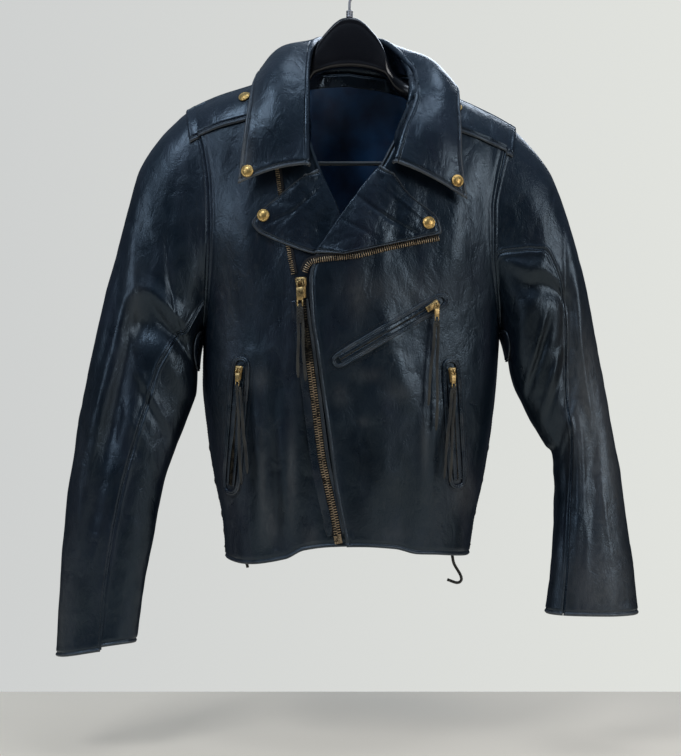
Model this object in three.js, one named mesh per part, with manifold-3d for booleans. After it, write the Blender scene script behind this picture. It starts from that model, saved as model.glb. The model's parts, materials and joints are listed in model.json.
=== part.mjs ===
// A black leather biker jacket, hung on a moulded hanger with a wire hook.
// Millimetres, +Z up. The origin is the inside of the hook's crown, where a rail would lie.
// The jacket faces -Y. Left and right are as seen from the front, so left is -X.
import * as THREE from "three";
import { mergeVertices } from "three/addons/utils/BufferGeometryUtils.js";
import Module from "manifold-3d";

// ---- Driving sizes ----
const wall = 2; // leather with its lining, as one wall
const seamGap = 0.6; // between two panels at a seam
const sleeveGap = 1.15; // between an armhole's edge and the sleeve sewn to it
const layerGap = 0.9; // between a panel and a piece that lies on it
const leatherPiece = 1.6; // thickness of welts, straps and patches
const armpitZ = -465; // height of the underarm point
const armpitShare = 0.42; // share of a panel's rows that lie above the underarm
const shoulderRound = 45; // how far below the shoulder's ridge its curve ends
const neckHalf = { left: 62, right: 76 }; // from the middle to where collar meets shoulder
const neckCurve = 30; // width of the curve where the neckline turns back
const boxiness = 0.9; // 1 is an oval cross-section, less is squarer
const overlapStep = 3.4; // how far each front leaves the common surface where they overlap
const snapRadius = 7.6;
const snapHeight = 3;
const mainTeeth = 8.6; // width of the closed main chain
const pocketTeeth = 5.4; // width of a pocket chain
const teethThick = 2;
const tapeThick = 0.8;
const thong = { width: 3.6, thick: 1.6 };
const laceDiameter = 3;
const hookWire = 3.2;
const hookInside = 19; // inner radius of the hook's crown

// The shoulder's ridge line, from the middle to past the armhole.
const ridge = {
  left: [
    { x: 0, z: -128 },
    { x: 62, z: -134 },
    { x: 120, z: -158 },
    { x: 160, z: -170 },
    { x: 192, z: -183 },
    { x: 225, z: -200 },
  ],
  right: [
    { x: 0, z: -128 },
    { x: 62, z: -140 },
    { x: 120, z: -169 },
    { x: 160, z: -186 },
    { x: 199, z: -206 },
    { x: 230, z: -225 },
  ],
};

// The body's cross-section at each height: half-width and depth.
// Above the underarm the half-width is that of the whole oval, past the armhole.
const bodySections = [
  { z: -120, left: 214, right: 222, front: 48, back: 50 },
  { z: -190, left: 222, right: 230, front: 60, back: 58 },
  { z: -250, left: 222, right: 232, front: 74, back: 68 },
  { z: -340, left: 212, right: 215, front: 86, back: 80 },
  { z: -410, left: 189, right: 195, front: 90, back: 86 },
  { z: -465, left: 183, right: 188, front: 90, back: 88 },
  { z: -525, left: 184, right: 184, front: 89, back: 88 },
  { z: -590, left: 178, right: 177, front: 88, back: 86 },
  { z: -650, left: 169, right: 167, front: 87, back: 84 },
  { z: -700, left: 159, right: 156, front: 86, back: 83 },
  { z: -760, left: 154, right: 147, front: 86, back: 84 },
];

// The armhole seam seen from the front: its distance from the middle at each height.
const armhole = {
  left: [
    { z: -183, x: 192 },
    { z: -218, x: 187 },
    { z: -249, x: 179.5 },
    { z: -298, x: 173.5 },
    { z: -335, x: 172.5 },
    { z: -370, x: 173.5 },
    { z: -417, x: 177 },
    { z: -465, x: 183 },
  ],
  right: [
    { z: -206, x: 199 },
    { z: -246, x: 191.5 },
    { z: -282, x: 183.5 },
    { z: -320, x: 178 },
    { z: -365, x: 178.5 },
    { z: -408, x: 182.5 },
    { z: -441, x: 186.5 },
    { z: -465, x: 188 },
  ],
};

// The inner edge of each front: down the neckline, the lapel's roll line and the zip edge.
const innerEdge = {
  left: [
    { z: -120, x: -62 },
    { z: -180, x: -57 },
    { z: -230, x: -49 },
    { z: -270, x: -36 },
    { z: -330, x: -10 },
    { z: -378, x: 2 },
    { z: -760, x: 8 },
  ],
  right: [
    { z: -120, x: 76 },
    { z: -175, x: 75 },
    { z: -216, x: 62 },
    { z: -245, x: 48 },
    { z: -266, x: 37 },
    { z: -330, x: -10 },
    { z: -378, x: -42 },
    { z: -405, x: -49 },
    { z: -444, x: -47.3 },
    { z: -490, x: -40.6 },
    { z: -543, x: -33.5 },
    { z: -601, x: -25 },
    { z: -655, x: -18 },
    { z: -725, x: -4.2 },
    { z: -760, x: 2 },
  ],
};

// The hem's height across the front and the back.
const hem = {
  front: [
    { x: -160, z: -748 },
    { x: -130, z: -751 },
    { x: -78, z: -742 },
    { x: -55, z: -731 },
    { x: -20, z: -726.5 },
    { x: 10, z: -725.5 },
    { x: 54, z: -729 },
    { x: 80, z: -736 },
    { x: 108, z: -738.5 },
    { x: 155, z: -745.5 },
  ],
  back: [
    { x: -160, z: -748 },
    { x: 0, z: -743 },
    { x: 155, z: -745.5 },
  ],
};

// Soft folds: ridges (depth over 0) and troughs that stand out from a body panel.
const bodyFolds = {
  front: [
    { x: -106, z: -620, length: 230, width: 17, depth: 4, lean: -0.02 },
    { x: -72, z: -650, length: 170, width: 13, depth: 2.4, lean: -0.08 },
    { x: -158, z: -430, length: 170, width: 17, depth: -3, lean: 0.1 },
    { x: -128, z: -370, length: 200, width: 20, depth: 2.6, lean: 0.1 },
    { x: 97, z: -630, length: 190, width: 16, depth: 3.6, lean: 0.03 },
    { x: 45, z: -600, length: 200, width: 22, depth: 2.4, lean: -0.06 },
    { x: 156, z: -430, length: 170, width: 17, depth: -3, lean: -0.1 },
    { x: 128, z: -350, length: 170, width: 18, depth: 2.6, lean: -0.15 },
  ],
  back: [
    { x: -70, z: -560, length: 300, width: 22, depth: 5, lean: 0.06 },
    { x: -20, z: -600, length: 260, width: 20, depth: -4, lean: -0.03 },
    { x: 35, z: -570, length: 280, width: 22, depth: 5, lean: 0.02 },
    { x: 95, z: -610, length: 220, width: 20, depth: 4, lean: -0.06 },
    { x: -130, z: -360, length: 180, width: 20, depth: -4, lean: 0.2 },
    { x: 130, z: -370, length: 180, width: 20, depth: -4, lean: -0.2 },
    { x: 0, z: -260, length: 140, width: 40, depth: 4, lean: 0 },
  ],
};

// Sleeve rings from armhole to cuff. Outer and inner are the sleeve's two edges seen
// from the front, y is its middle's place in depth and depth its half-thickness.
// seam is the angle of the front seam round the ring, in degrees from the outer edge.
const sleeveRings = {
  left: [
    { at: 0, outX: -201, outZ: -188, inX: -183, inZ: -469, y: 0, depth: 52, seam: 138 },
    { at: 0.06, outX: -235, outZ: -214, inX: -189, inZ: -490, y: -5, depth: 52, seam: 136 },
    { at: 0.12, outX: -258, outZ: -250, inX: -190, inZ: -505, y: -9, depth: 50, seam: 132 },
    { at: 0.2, outX: -275, outZ: -307, inX: -190, inZ: -523, y: -14, depth: 46, seam: 119 },
    { at: 0.28, outX: -290, outZ: -370, inX: -191, inZ: -541, y: -20, depth: 43, seam: 111 },
    { at: 0.36, outX: -304, outZ: -423, inX: -197, inZ: -562, y: -25, depth: 40, seam: 106 },
    { at: 0.43, outX: -315, outZ: -477, inX: -205, inZ: -587, y: -30, depth: 38, seam: 105 },
    { at: 0.51, outX: -327, outZ: -538, inX: -217, inZ: -620, y: -35, depth: 36, seam: 104 },
    { at: 0.59, outX: -337, outZ: -594, inX: -227, inZ: -655, y: -40, depth: 34, seam: 102 },
    { at: 0.67, outX: -343, outZ: -649, inX: -236, inZ: -692, y: -45, depth: 32, seam: 100 },
    { at: 0.76, outX: -347, outZ: -709, inX: -244, inZ: -734, y: -50, depth: 30, seam: 98 },
    { at: 0.86, outX: -352, outZ: -770, inX: -251, inZ: -776, y: -53, depth: 28, seam: 97 },
    { at: 0.95, outX: -355, outZ: -831, inX: -257, inZ: -821, y: -56, depth: 26, seam: 98 },
    { at: 1, outX: -355, outZ: -861, inX: -260, inZ: -845, y: -58, depth: 26, seam: 98 },
  ],
  right: [
    { at: 0, outX: 207, outZ: -210, inX: 189, inZ: -468, y: 0, depth: 52, seam: 95 },
    { at: 0.06, outX: 229, outZ: -233, inX: 195, inZ: -484, y: -3, depth: 52, seam: 85 },
    { at: 0.13, outX: 249, outZ: -262, inX: 197, inZ: -497, y: -6, depth: 50, seam: 72 },
    { at: 0.21, outX: 266, outZ: -307, inX: 199, inZ: -514, y: -10, depth: 46, seam: 66 },
    { at: 0.28, outX: 279, outZ: -348, inX: 205, inZ: -534, y: -12, depth: 43, seam: 68 },
    { at: 0.36, outX: 293, outZ: -395, inX: 215, inZ: -555, y: -12, depth: 40, seam: 76 },
    { at: 0.44, outX: 303, outZ: -445, inX: 228, inZ: -579, y: -12, depth: 38, seam: 90 },
    { at: 0.52, outX: 313, outZ: -501, inX: 242, inZ: -601, y: -12, depth: 36, seam: 104 },
    { at: 0.59, outX: 322, outZ: -551, inX: 253, inZ: -621, y: -14, depth: 34, seam: 114 },
    { at: 0.66, outX: 328, outZ: -601, inX: 255, inZ: -651, y: -20, depth: 33, seam: 122 },
    { at: 0.74, outX: 334, outZ: -650, inX: 253, inZ: -681, y: -28, depth: 32, seam: 127 },
    { at: 0.82, outX: 339, outZ: -699, inX: 251, inZ: -711, y: -36, depth: 31, seam: 130 },
    { at: 0.91, outX: 345, outZ: -753, inX: 247, inZ: -753, y: -46, depth: 29, seam: 131 },
    { at: 1, outX: 349, outZ: -810, inX: 239, inZ: -809, y: -56, depth: 27, seam: 131 },
  ],
};
const sleeveJoin = 0.15; // share of a sleeve over which the armhole's outline fades out
const backSeamAngle = 250; // where the hidden back seam runs round a sleeve

// Sleeve folds: place along and round (degrees), size, and how far the angle shifts along it.
const sleeveFolds = {
  left: [
    { at: 0.3, angle: 62, length: 0.3, width: 16, depth: 5, turn: 20 },
    { at: 0.38, angle: 88, length: 0.26, width: 13, depth: -6, turn: 10 },
    { at: 0.6, angle: 55, length: 0.5, width: 14, depth: 4, turn: -8 },
    { at: 0.62, angle: 78, length: 0.4, width: 11, depth: -4, turn: -8 },
    { at: 0.22, angle: 120, length: 0.16, width: 18, depth: -5, turn: -60 },
    { at: 0.45, angle: 135, length: 0.3, width: 18, depth: -4, turn: 10 },
    { at: 0.4, angle: 290, length: 0.4, width: 16, depth: -4, turn: 14 },
    { at: 0.65, angle: 265, length: 0.4, width: 16, depth: 4, turn: -10 },
  ],
  right: [
    { at: 0.34, angle: 48, length: 0.36, width: 13, depth: 5, turn: 30 },
    { at: 0.42, angle: 84, length: 0.3, width: 15, depth: -9, turn: 24 },
    { at: 0.7, angle: 112, length: 0.5, width: 11, depth: 6, turn: 8 },
    { at: 0.6, angle: 134, length: 0.4, width: 15, depth: -5, turn: 6 },
    { at: 0.72, angle: 84, length: 0.36, width: 12, depth: -3, turn: 10 },
    { at: 0.59, angle: 165, length: 0.1, width: 30, depth: -4, turn: 0 },
    { at: 0.4, angle: 290, length: 0.4, width: 16, depth: -4, turn: 14 },
    { at: 0.65, angle: 250, length: 0.4, width: 16, depth: 4, turn: -10 },
  ],
};

// The collar, from its left end round the back of the neck to its right end:
// the neck seam, the fold where it turns over, and the leaf's free edge.
const collarSections = [
  { at: 0, seam: [-53, -83, -269], fold: [-50, -94, -271], edge: [-134, -86, -292], lift: 3 },
  { at: 0.1, seam: [-55, -74, -222], fold: [-51, -80, -214], edge: [-128, -82, -240], lift: 6 },
  { at: 0.2, seam: [-60, -52, -171], fold: [-51, -56, -161], edge: [-122, -64, -190], lift: 9 },
  { at: 0.29, seam: [-63, -24, -143], fold: [-50, -30, -129], edge: [-117, -38, -158], lift: 13 },
  { at: 0.36, seam: [-61, 3, -134], fold: [-46, -3, -104], edge: [-109, 4, -140], lift: 15 },
  { at: 0.43, seam: [-42, 38, -127], fold: [-34, 34, -87], edge: [-76, 60, -142], lift: 11 },
  { at: 0.5, seam: [0, 49, -125], fold: [0, 50, -84], edge: [0, 70, -150], lift: 5 },
  { at: 0.57, seam: [48, 40, -128], fold: [37, 34, -89], edge: [82, 60, -148], lift: 11 },
  { at: 0.64, seam: [75, 3, -145], fold: [64, -2, -117], edge: [117, 2, -151], lift: 14 },
  { at: 0.71, seam: [76, -24, -160], fold: [80, -27, -146], edge: [134, -36, -172], lift: 11 },
  { at: 0.8, seam: [74, -52, -184], fold: [81, -54, -177], edge: [134, -60, -206], lift: 8 },
  { at: 0.9, seam: [60, -74, -222], fold: [67, -82, -222], edge: [134, -78, -254], lift: 6 },
  { at: 1, seam: [56, -84, -265], fold: [53, -94, -268], edge: [140, -84, -310], lift: 3 },
];

// Each lapel from its top at the roll line to its foot: the roll edge, the outer edge,
// how high it arches between them and how far its outer edge stands off.
const lapelSections = {
  left: [
    { at: 0, rollX: -41, rollZ: -274, outX: -57, outZ: -281, arch: 1.2, edge: 3.6 },
    { at: 0.22, rollX: -34, rollZ: -283, outX: -91, outZ: -304, arch: 2.6, edge: 3.6 },
    { at: 0.42, rollX: -25, rollZ: -300, outX: -113, outZ: -327, arch: 2.8, edge: 3.6 },
    { at: 0.52, rollX: -18, rollZ: -316, outX: -115.5, outZ: -341, arch: 2.4, edge: 3.6 },
    { at: 0.68, rollX: -12, rollZ: -330, outX: -99, outZ: -353, arch: 1.2, edge: 3.6 },
    { at: 0.85, rollX: -6, rollZ: -344, outX: -72, outZ: -365, arch: 0.2, edge: 3.6 },
    { at: 0.9, rollX: -6, rollZ: -348, outX: -66, outZ: -367.5, arch: 0, edge: 3.2 },
    { at: 1, rollX: -6, rollZ: -356, outX: -45, outZ: -374, arch: 0, edge: 0.9 },
  ],
  right: [
    { at: 0, rollX: 38, rollZ: -269, outX: 51, outZ: -279, arch: 1.2, edge: 3.6 },
    { at: 0.24, rollX: 24, rollZ: -284, outX: 76, outZ: -310, arch: 2.8, edge: 3.6 },
    { at: 0.44, rollX: 6, rollZ: -308, outX: 106, outZ: -334, arch: 3, edge: 3.6 },
    { at: 0.54, rollX: -2, rollZ: -319, outX: 109.5, outZ: -349, arch: 2.8, edge: 3.6 },
    { at: 0.68, rollX: -12, rollZ: -333, outX: 88, outZ: -355, arch: 2.4, edge: 3.6 },
    { at: 0.84, rollX: -27, rollZ: -355, outX: 40, outZ: -366, arch: 1.4, edge: 3.6 },
    { at: 1, rollX: -41, rollZ: -375, outX: -8, outZ: -376.5, arch: 0.4, edge: 3.6 },
  ],
};
const lapelLift = 1; // of the roll line above the front it lies on
const strapLift = 1.3; // shoulder strap above the shoulder

// Shoulder straps: from the neck end to the armhole, then out over the sleeve's head.
// The edges lie this far round the shoulder's curve, in degrees from its ridge.
const straps = {
  left: { neckX: 111, back: 20, frontAtNeck: 97, frontAtEnd: 92, past: 0.052 },
  right: { neckX: 116, back: 20, frontAtNeck: 98, frontAtEnd: 88, past: 0.05 },
};

// The main zip's closed chain and its two open halves, as places on the fronts.
const mainChain = [
  { x: -58, z: -429.9 },
  { x: -55, z: -455 },
  { x: -50.8, z: -484 },
  { x: -43, z: -543 },
  { x: -33.7, z: -618 },
  { x: -24.2, z: -664 },
  { x: -19.4, z: -685 },
  { x: -14.8, z: -711 },
];
const leftTeeth = [
  { x: -68, z: -399 },
  { x: -71, z: -383 },
  { x: -75, z: -360 },
  { x: -81, z: -322 },
  { x: -86.6, z: -280 },
  { x: -90.5, z: -252 },
];
const rightTeeth = [
  { x: -53.5, z: -397 },
  { x: -50.5, z: -389.5 },
  { x: -45, z: -385 },
  { x: -32, z: -382.5 },
  { x: -8, z: -380 },
  { x: 12, z: -377.4 },
  { x: 42, z: -369.4 },
  { x: 74, z: -362 },
  { x: 106, z: -356 },
];

// Zip pockets: the slot's two ends, its open width, the slider's place along it, and the two
// thongs that hang from its tab: each one's length, sideways lean and place beside the tab.
const pockets = {
  left_pocket: {
    side: "left",
    top: { x: -132, z: -508 },
    foot: { x: -145, z: -656 },
    slot: 12.5,
    lip: 6,
    slider: 9,
    thongs: [
      { length: 118, lean: 0.05, beside: -0.6 },
      { length: 104, lean: 0.1, beside: 3.4 },
    ],
  },
  right_pocket: {
    side: "right",
    top: { x: 121.5, z: -510 },
    foot: { x: 130.5, z: -648 },
    slot: 12,
    lip: 6,
    slider: 9,
    thongs: [
      { length: 108, lean: -0.1, beside: -2.2 },
      { length: 112, lean: -0.06, beside: 1.8 },
    ],
  },
  chest_pocket: {
    side: "right",
    top: { x: 108.5, z: -431 },
    foot: { x: -13, z: -502.5 },
    slot: 9.5,
    lip: 5.2,
    slider: 12,
    thongs: [
      { length: 100, lean: -0.09, beside: -2.2 },
      { length: 130, lean: -0.02, beside: 1.9 },
    ],
  },
};
const lipThick = 2;
const pocketZipScale = 0.7; // of the main zip's slider and tab

// The main slider: the middle of its body, and the thongs that hang from its tab.
const mainPull = {
  x: -59,
  z: -416,
  thongs: [
    { length: 84, lean: 0, beside: -2.2 },
    { length: 88, lean: 0.05, beside: 1.9 },
  ],
};
// A slider at full size: its body, the bridge that holds the tab, and the tab itself.
const slider = { length: 26, width: 11.5, waist: 9, thick: 4.6, axisAt: 6, bridgeWidth: 3 };
const tab = { length: 31, width: 9, foot: 7, thick: 1.8, bar: 1, eyeWidth: 4.4, eyeLength: 6 };

// Side laces: where the lacing starts, how far behind the side seam its middle lies, how many
// times it crosses and how far it reaches each way.
const lacing = { top: -592, behind: 21, crossings: 7, reach: 8 };
const laceEnds = {
  left: [
    { x: -137, y: 30, z: -728 },
    { x: -135, y: 21, z: -742 },
    { x: -132, y: 14, z: -753 },
    { x: -129, y: 11, z: -764 },
  ],
  right: [
    { x: 130, y: 34, z: -726 },
    { x: 130, y: 22, z: -739 },
    { x: 131, y: 13, z: -752 },
    { x: 133, y: 11, z: -760 },
    { x: 140.5, y: 10, z: -773 },
    { x: 141.5, y: 10, z: -780 },
    { x: 136, y: 10, z: -783 },
    { x: 124, y: 10, z: -779 },
  ],
};

// The hanger across its width: top and bottom edges and half-thickness.
const hangerSections = [
  { x: 0, top: -70, bottom: -133, half: 10.5, box: 0.45 },
  { x: 9, top: -71.5, bottom: -133.5, half: 10.5, box: 0.45 },
  { x: 18, top: -77, bottom: -134.5, half: 10.5, box: 0.45 },
  { x: 27, top: -86, bottom: -136.5, half: 10.5, box: 0.5 },
  { x: 36, top: -97, bottom: -139.5, half: 10.5, box: 0.55 },
  { x: 44, top: -112, bottom: -143.5, half: 10, box: 0.65 },
  { x: 51, top: -130, bottom: -153, half: 7, box: 0.85 },
  { x: 57, top: -140.5, bottom: -161, half: 5.5, box: 0.95 },
  { x: 66, top: -147.5, bottom: -169, half: 7, box: 1 },
  { x: 80, top: -153.4, bottom: -180, half: 12, box: 1 },
  { x: 120, top: -171.6, bottom: -202, half: 16, box: 1 },
  { x: 160, top: -189.8, bottom: -218, half: 14, box: 1 },
  { x: 176, top: -199.3, bottom: -218, half: 8, box: 1 },
];
const hangerBar = { z: -253, half: 162, diameter: 5.6, bend: 14 };
const ferrule = { radius: 4.2, foot: -69.8, top: -61 };

// ---- Small mathematics ----
const clamp01 = (t) => Math.min(1, Math.max(0, t));
const lerp = (a, b, t) => a + (b - a) * t;
const ease = (t) => clamp01(t) ** 2 * (3 - 2 * clamp01(t));
const point = (x, y, z) => new THREE.Vector3(x, y, z);
const degrees = Math.PI / 180;
const signOf = { left: -1, right: 1 };

// A smooth curve through a table's rows that never overshoots: column `to` against `from`.
function curve(rows, from, to) {
  const sorted = [...rows].sort((a, b) => a[from] - b[from]);
  const x = sorted.map((r) => r[from]);
  const y = sorted.map((r) => r[to]);
  const step = x.slice(1).map((v, i) => (y[i + 1] - y[i]) / (v - x[i]));
  const slope = x.map((_, i) => {
    const before = step[i - 1] ?? step[0];
    const after = step[i] ?? step[step.length - 1];
    return before * after <= 0 ? 0 : (2 * before * after) / (before + after);
  });
  return (at) => {
    const t = Math.min(x[x.length - 1], Math.max(x[0], at));
    let i = 0;
    while (i < x.length - 2 && t > x[i + 1]) i++;
    const h = x[i + 1] - x[i];
    const s = (t - x[i]) / h;
    const bend = s * (1 - s) * h;
    return (
      lerp(y[i], y[i + 1], s * s * (3 - 2 * s)) +
      bend * ((1 - s) * slope[i] - s * slope[i + 1])
    );
  };
}

function curves(rows, from, columns) {
  return Object.fromEntries(columns.map((c) => [c, curve(rows, from, c)]));
}

// The outward direction of a surface, from two short steps along it.
function normalOf(surface, u, v, flip) {
  const d = 1e-3;
  const alongU = surface(u + d, v).sub(surface(u - d, v));
  const alongV = surface(u, v + d).sub(surface(u, v - d));
  return alongU.cross(alongV).normalize().multiplyScalar(flip);
}

// ---- Closed solids ----
function solid(points, triangles) {
  const volume = triangles.reduce((sum, [a, b, c]) => {
    return sum + points[a].dot(points[b].clone().cross(points[c]));
  }, 0);
  const faces = volume < 0 ? triangles.map(([a, b, c]) => [a, c, b]) : triangles;
  const geometry = new THREE.BufferGeometry();
  geometry.setAttribute(
    "position",
    new THREE.Float32BufferAttribute(points.flatMap((p) => [p.x, p.y, p.z]), 3),
  );
  geometry.setIndex(faces.flat());
  geometry.computeVertexNormals();
  return geometry;
}

// A wall between two faces, each a function of u and v, closed all round its rim.
function gridWall(us, vs, outer, inner) {
  const points = [outer, inner].flatMap((face) => vs.flatMap((v) => us.map((u) => face(u, v))));
  const size = us.length * vs.length;
  const id = (layer, i, j) => layer * size + j * us.length + i;
  const triangles = [];
  const quad = (a, b, c, d) => triangles.push([a, b, c], [a, c, d]);
  const lastI = us.length - 1;
  const lastJ = vs.length - 1;
  for (let j = 0; j < lastJ; j++)
    for (let i = 0; i < lastI; i++) {
      quad(id(0, i, j), id(0, i + 1, j), id(0, i + 1, j + 1), id(0, i, j + 1));
      quad(id(1, i, j), id(1, i, j + 1), id(1, i + 1, j + 1), id(1, i + 1, j));
    }
  for (let i = 0; i < lastI; i++) {
    quad(id(0, i, 0), id(1, i, 0), id(1, i + 1, 0), id(0, i + 1, 0));
    quad(id(0, i, lastJ), id(0, i + 1, lastJ), id(1, i + 1, lastJ), id(1, i, lastJ));
  }
  for (let j = 0; j < lastJ; j++) {
    quad(id(0, 0, j), id(0, 0, j + 1), id(1, 0, j + 1), id(1, 0, j));
    quad(id(0, lastI, j), id(1, lastI, j), id(1, lastI, j + 1), id(0, lastI, j + 1));
  }
  return solid(points, triangles);
}

// A wall that lies under a surface, `thick` deep, its top moved out by `lift`.
function wallUnder(surface, us, vs, thick, lift, flip) {
  const moved = (by) => (u, v) => surface(u, v).addScaledVector(normalOf(surface, u, v, flip), by);
  return gridWall(us, vs, moved(lift + thick), moved(lift));
}

// A solid along a line of rings that all have the same number of points.
function loft(rings, closed = false) {
  const n = rings[0].length;
  const points = rings.flat();
  const triangles = [];
  const last = closed ? rings.length : rings.length - 1;
  for (let j = 0; j < last; j++)
    for (let i = 0; i < n; i++) {
      const a = j * n + i;
      const b = j * n + ((i + 1) % n);
      const c = ((j + 1) % rings.length) * n;
      triangles.push([a, b, c + ((i + 1) % n)], [a, c + ((i + 1) % n), c + i]);
    }
  if (!closed)
    for (let i = 1; i < n - 1; i++) {
      const end = (rings.length - 1) * n;
      triangles.push([0, i + 1, i], [end, end + i, end + i + 1]);
    }
  return solid(points, triangles);
}

const evenly = (from, to, steps) =>
  Array.from({ length: steps + 1 }, (_, i) => lerp(from, to, i / steps));

// A flat strip laid along stations, each with a place, a direction across and one up.
function strip(stations, width, thick, closed = false) {
  const rings = stations.map(({ place, across, up }) =>
    [
      [-0.5, 0],
      [0.5, 0],
      [0.5, 1],
      [-0.5, 1],
    ].map(([side, height]) =>
      place.clone().addScaledVector(across, side * width).addScaledVector(up, height * thick),
    ),
  );
  return loft(rings, closed);
}

// A round tube with `sides` flats along a smooth line through some points.
function tube(line, radius, steps, sides, flat = 1) {
  const path = new THREE.CatmullRomCurve3(line, false, "centripetal");
  const frames = path.computeFrenetFrames(steps, false);
  const rings = evenly(0, 1, steps).map((t, i) =>
    Array.from({ length: sides }, (_, k) => {
      const a = ((k + 0.5) / sides) * 2 * Math.PI;
      return path
        .getPointAt(t)
        .addScaledVector(frames.normals[i], Math.cos(a) * radius)
        .addScaledVector(frames.binormals[i], Math.sin(a) * radius * flat);
    }),
  );
  return loft(rings);
}

// ---- The body's surface ----
const section = curves(bodySections, "z", ["left", "right", "front", "back"]);
const ridgeAt = { left: curve(ridge.left, "x", "z"), right: curve(ridge.right, "x", "z") };
const armholeAt = { left: curve(armhole.left, "z", "x"), right: curve(armhole.right, "z", "x") };
const innerAt = { left: curve(innerEdge.left, "z", "x"), right: curve(innerEdge.right, "z", "x") };
const hemAt = { front: curve(hem.front, "x", "z"), back: curve(hem.back, "x", "z") };
const sideOf = (x) => (x < 0 ? "left" : "right");
const ridgeZ = (x) => ridgeAt[sideOf(x)](Math.abs(x));

// Shoulder curve: 0 at the ridge and 1 where the panel hangs straight; the neck stays open.
function shoulderFactor(x, z) {
  const below = Math.max(0, ridgeZ(x) - z);
  const round = Math.sqrt(1 - (1 - Math.min(1, below / shoulderRound)) ** 2);
  return lerp(round, 1, ease((neckHalf[sideOf(x)] - Math.abs(x)) / neckCurve));
}

function foldSum(folds, x, z) {
  return folds.reduce((sum, f) => {
    const along = (z - f.z) / (f.length / 2);
    const across = (x - f.x - f.lean * (z - f.z)) / f.width;
    return sum + f.depth * Math.exp(-across * across) * ease(1.4 - 1.4 * Math.abs(along));
  }, 0);
}

// How far a face of the body stands from the middle plane at a place seen from the front.
function faceDepth(face, x, z) {
  const half = section[sideOf(x)](z);
  const oval = Math.max(0, 1 - (x / half) ** 2) ** (boxiness / 2);
  const shoulder = shoulderFactor(x, z);
  const cloth = foldSum(bodyFolds[face], x, z) * oval * shoulder;
  return Math.max(seamGap / 2, section[face](z) * oval * shoulder + cloth);
}

// Where the fronts overlap, the left one lies back and the right one comes forward.
const overlapShift = {
  left: (x, z) => overlapStep * ease((x + 76) / 42) * ease((-z - 200) / 110),
  right: (x, z) => -overlapStep * ease((60 - x) / 50) * ease((-z - 200) / 110),
  middle: () => 0,
};

const frontPlace = (side) => (x, z) =>
  point(x, -faceDepth("front", x, z) + overlapShift[side](x, z), z);
const backPlace = (x, z) => point(x, faceDepth("back", x, z), z);

// Height of row v at a place across a panel: from the ridge, to the underarm, to the hem.
function rowHeight(face, x, v) {
  return v < armpitShare
    ? lerp(ridgeZ(x), armpitZ, v / armpitShare)
    : lerp(armpitZ, hemAt[face](x), (v - armpitShare) / (1 - armpitShare));
}

// The outer edge of a body panel at row v: the armhole, then the side seam.
function outerEdge(face, side, v) {
  let x = 180;
  for (let i = 0; i < 4; i++) {
    const z = rowHeight(face, signOf[side] * x, v);
    x = v < armpitShare ? armholeAt[side](z) : section[side](z);
  }
  return signOf[side] * x;
}

function innerEdgeX(side, v) {
  let x = signOf[side] * neckHalf[side];
  for (let i = 0; i < 6; i++) x = innerAt[side](rowHeight("front", x, v));
  return v === 0 ? signOf[side] * neckHalf[side] : x;
}

// Spreads u so that the places crowd towards the side, where the panel turns.
const spread = (from, to, half, u) =>
  half * Math.sin(lerp(Math.asin(from / half), Math.asin(to / half), u));

function frontSurface(side) {
  return (u, v) => {
    const row = clamp01(v);
    const outer = outerEdge("front", side, row);
    const half = Math.max(section[side](rowHeight("front", outer, row)), Math.abs(outer));
    const x = spread(innerEdgeX(side, row), outer, half, clamp01(u));
    return frontPlace(side)(x, rowHeight("front", x, row));
  };
}

function backSurface(u, v) {
  const row = clamp01(v);
  const side = u < 0.5 ? "left" : "right";
  const outer = outerEdge("back", side, row);
  const half = Math.max(section[side](rowHeight("back", outer, row)), Math.abs(outer));
  const x = spread(0, outer, half, Math.abs(clamp01(u) - 0.5) * 2);
  return backPlace(x, rowHeight("back", x, row));
}

// Rows crowd near the shoulder's curve and spread down the body.
const panelRows = [
  ...[0, 0.006, 0.022, 0.05, 0.09, 0.14, 0.21, 0.29, 0.37, 0.45, 0.55, 0.68, 0.84].map(
    (s) => s * armpitShare,
  ),
  ...evenly(armpitShare, 1, 10),
];

const backColumns = 16;

// A body panel: its outer face is the surface, its inner face lies one wall behind.
function panelInside(surface, flip, depth) {
  return (u, v) => {
    const uu = Math.min(1 - 2e-3, Math.max(2e-3, u));
    const vv = Math.min(1 - 2e-3, Math.max(2e-3, v));
    const outer = surface(u, v);
    const place = outer.clone().addScaledVector(normalOf(surface, uu, vv, flip), -depth);
    // Neither face crosses the seam line between front and back.
    place.y = outer.y < 0 ? Math.min(place.y, -seamGap / 2) : Math.max(place.y, seamGap / 2);
    return place;
  };
}
function bodyPanel(surface, columns, flip) {
  const inside = panelInside(surface, flip, wall);
  return gridWall(evenly(0, 1, columns), panelRows, surface, inside);
}

// ---- Sleeves ----
const ringColumns = ["outX", "outZ", "inX", "inZ", "y", "depth", "seam"];
const ringAt = {
  left: curves(sleeveRings.left, "at", ringColumns),
  right: curves(sleeveRings.right, "at", ringColumns),
};

// The armhole seam as a closed line: angle 0 at the shoulder, 90 in front, 180 underneath.
function armholeLine(side, angle) {
  const top = side === "left" ? armhole.left[0].z : armhole.right[0].z;
  const z = lerp(top, armpitZ, (1 - Math.cos(angle * degrees)) / 2);
  const x = signOf[side] * armholeAt[side](z);
  const turn = ((angle % 360) + 360) % 360;
  const y = turn < 180 ? -faceDepth("front", x, z) : faceDepth("back", x, z);
  return point(x + signOf[side] * sleeveGap, y, z);
}

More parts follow.
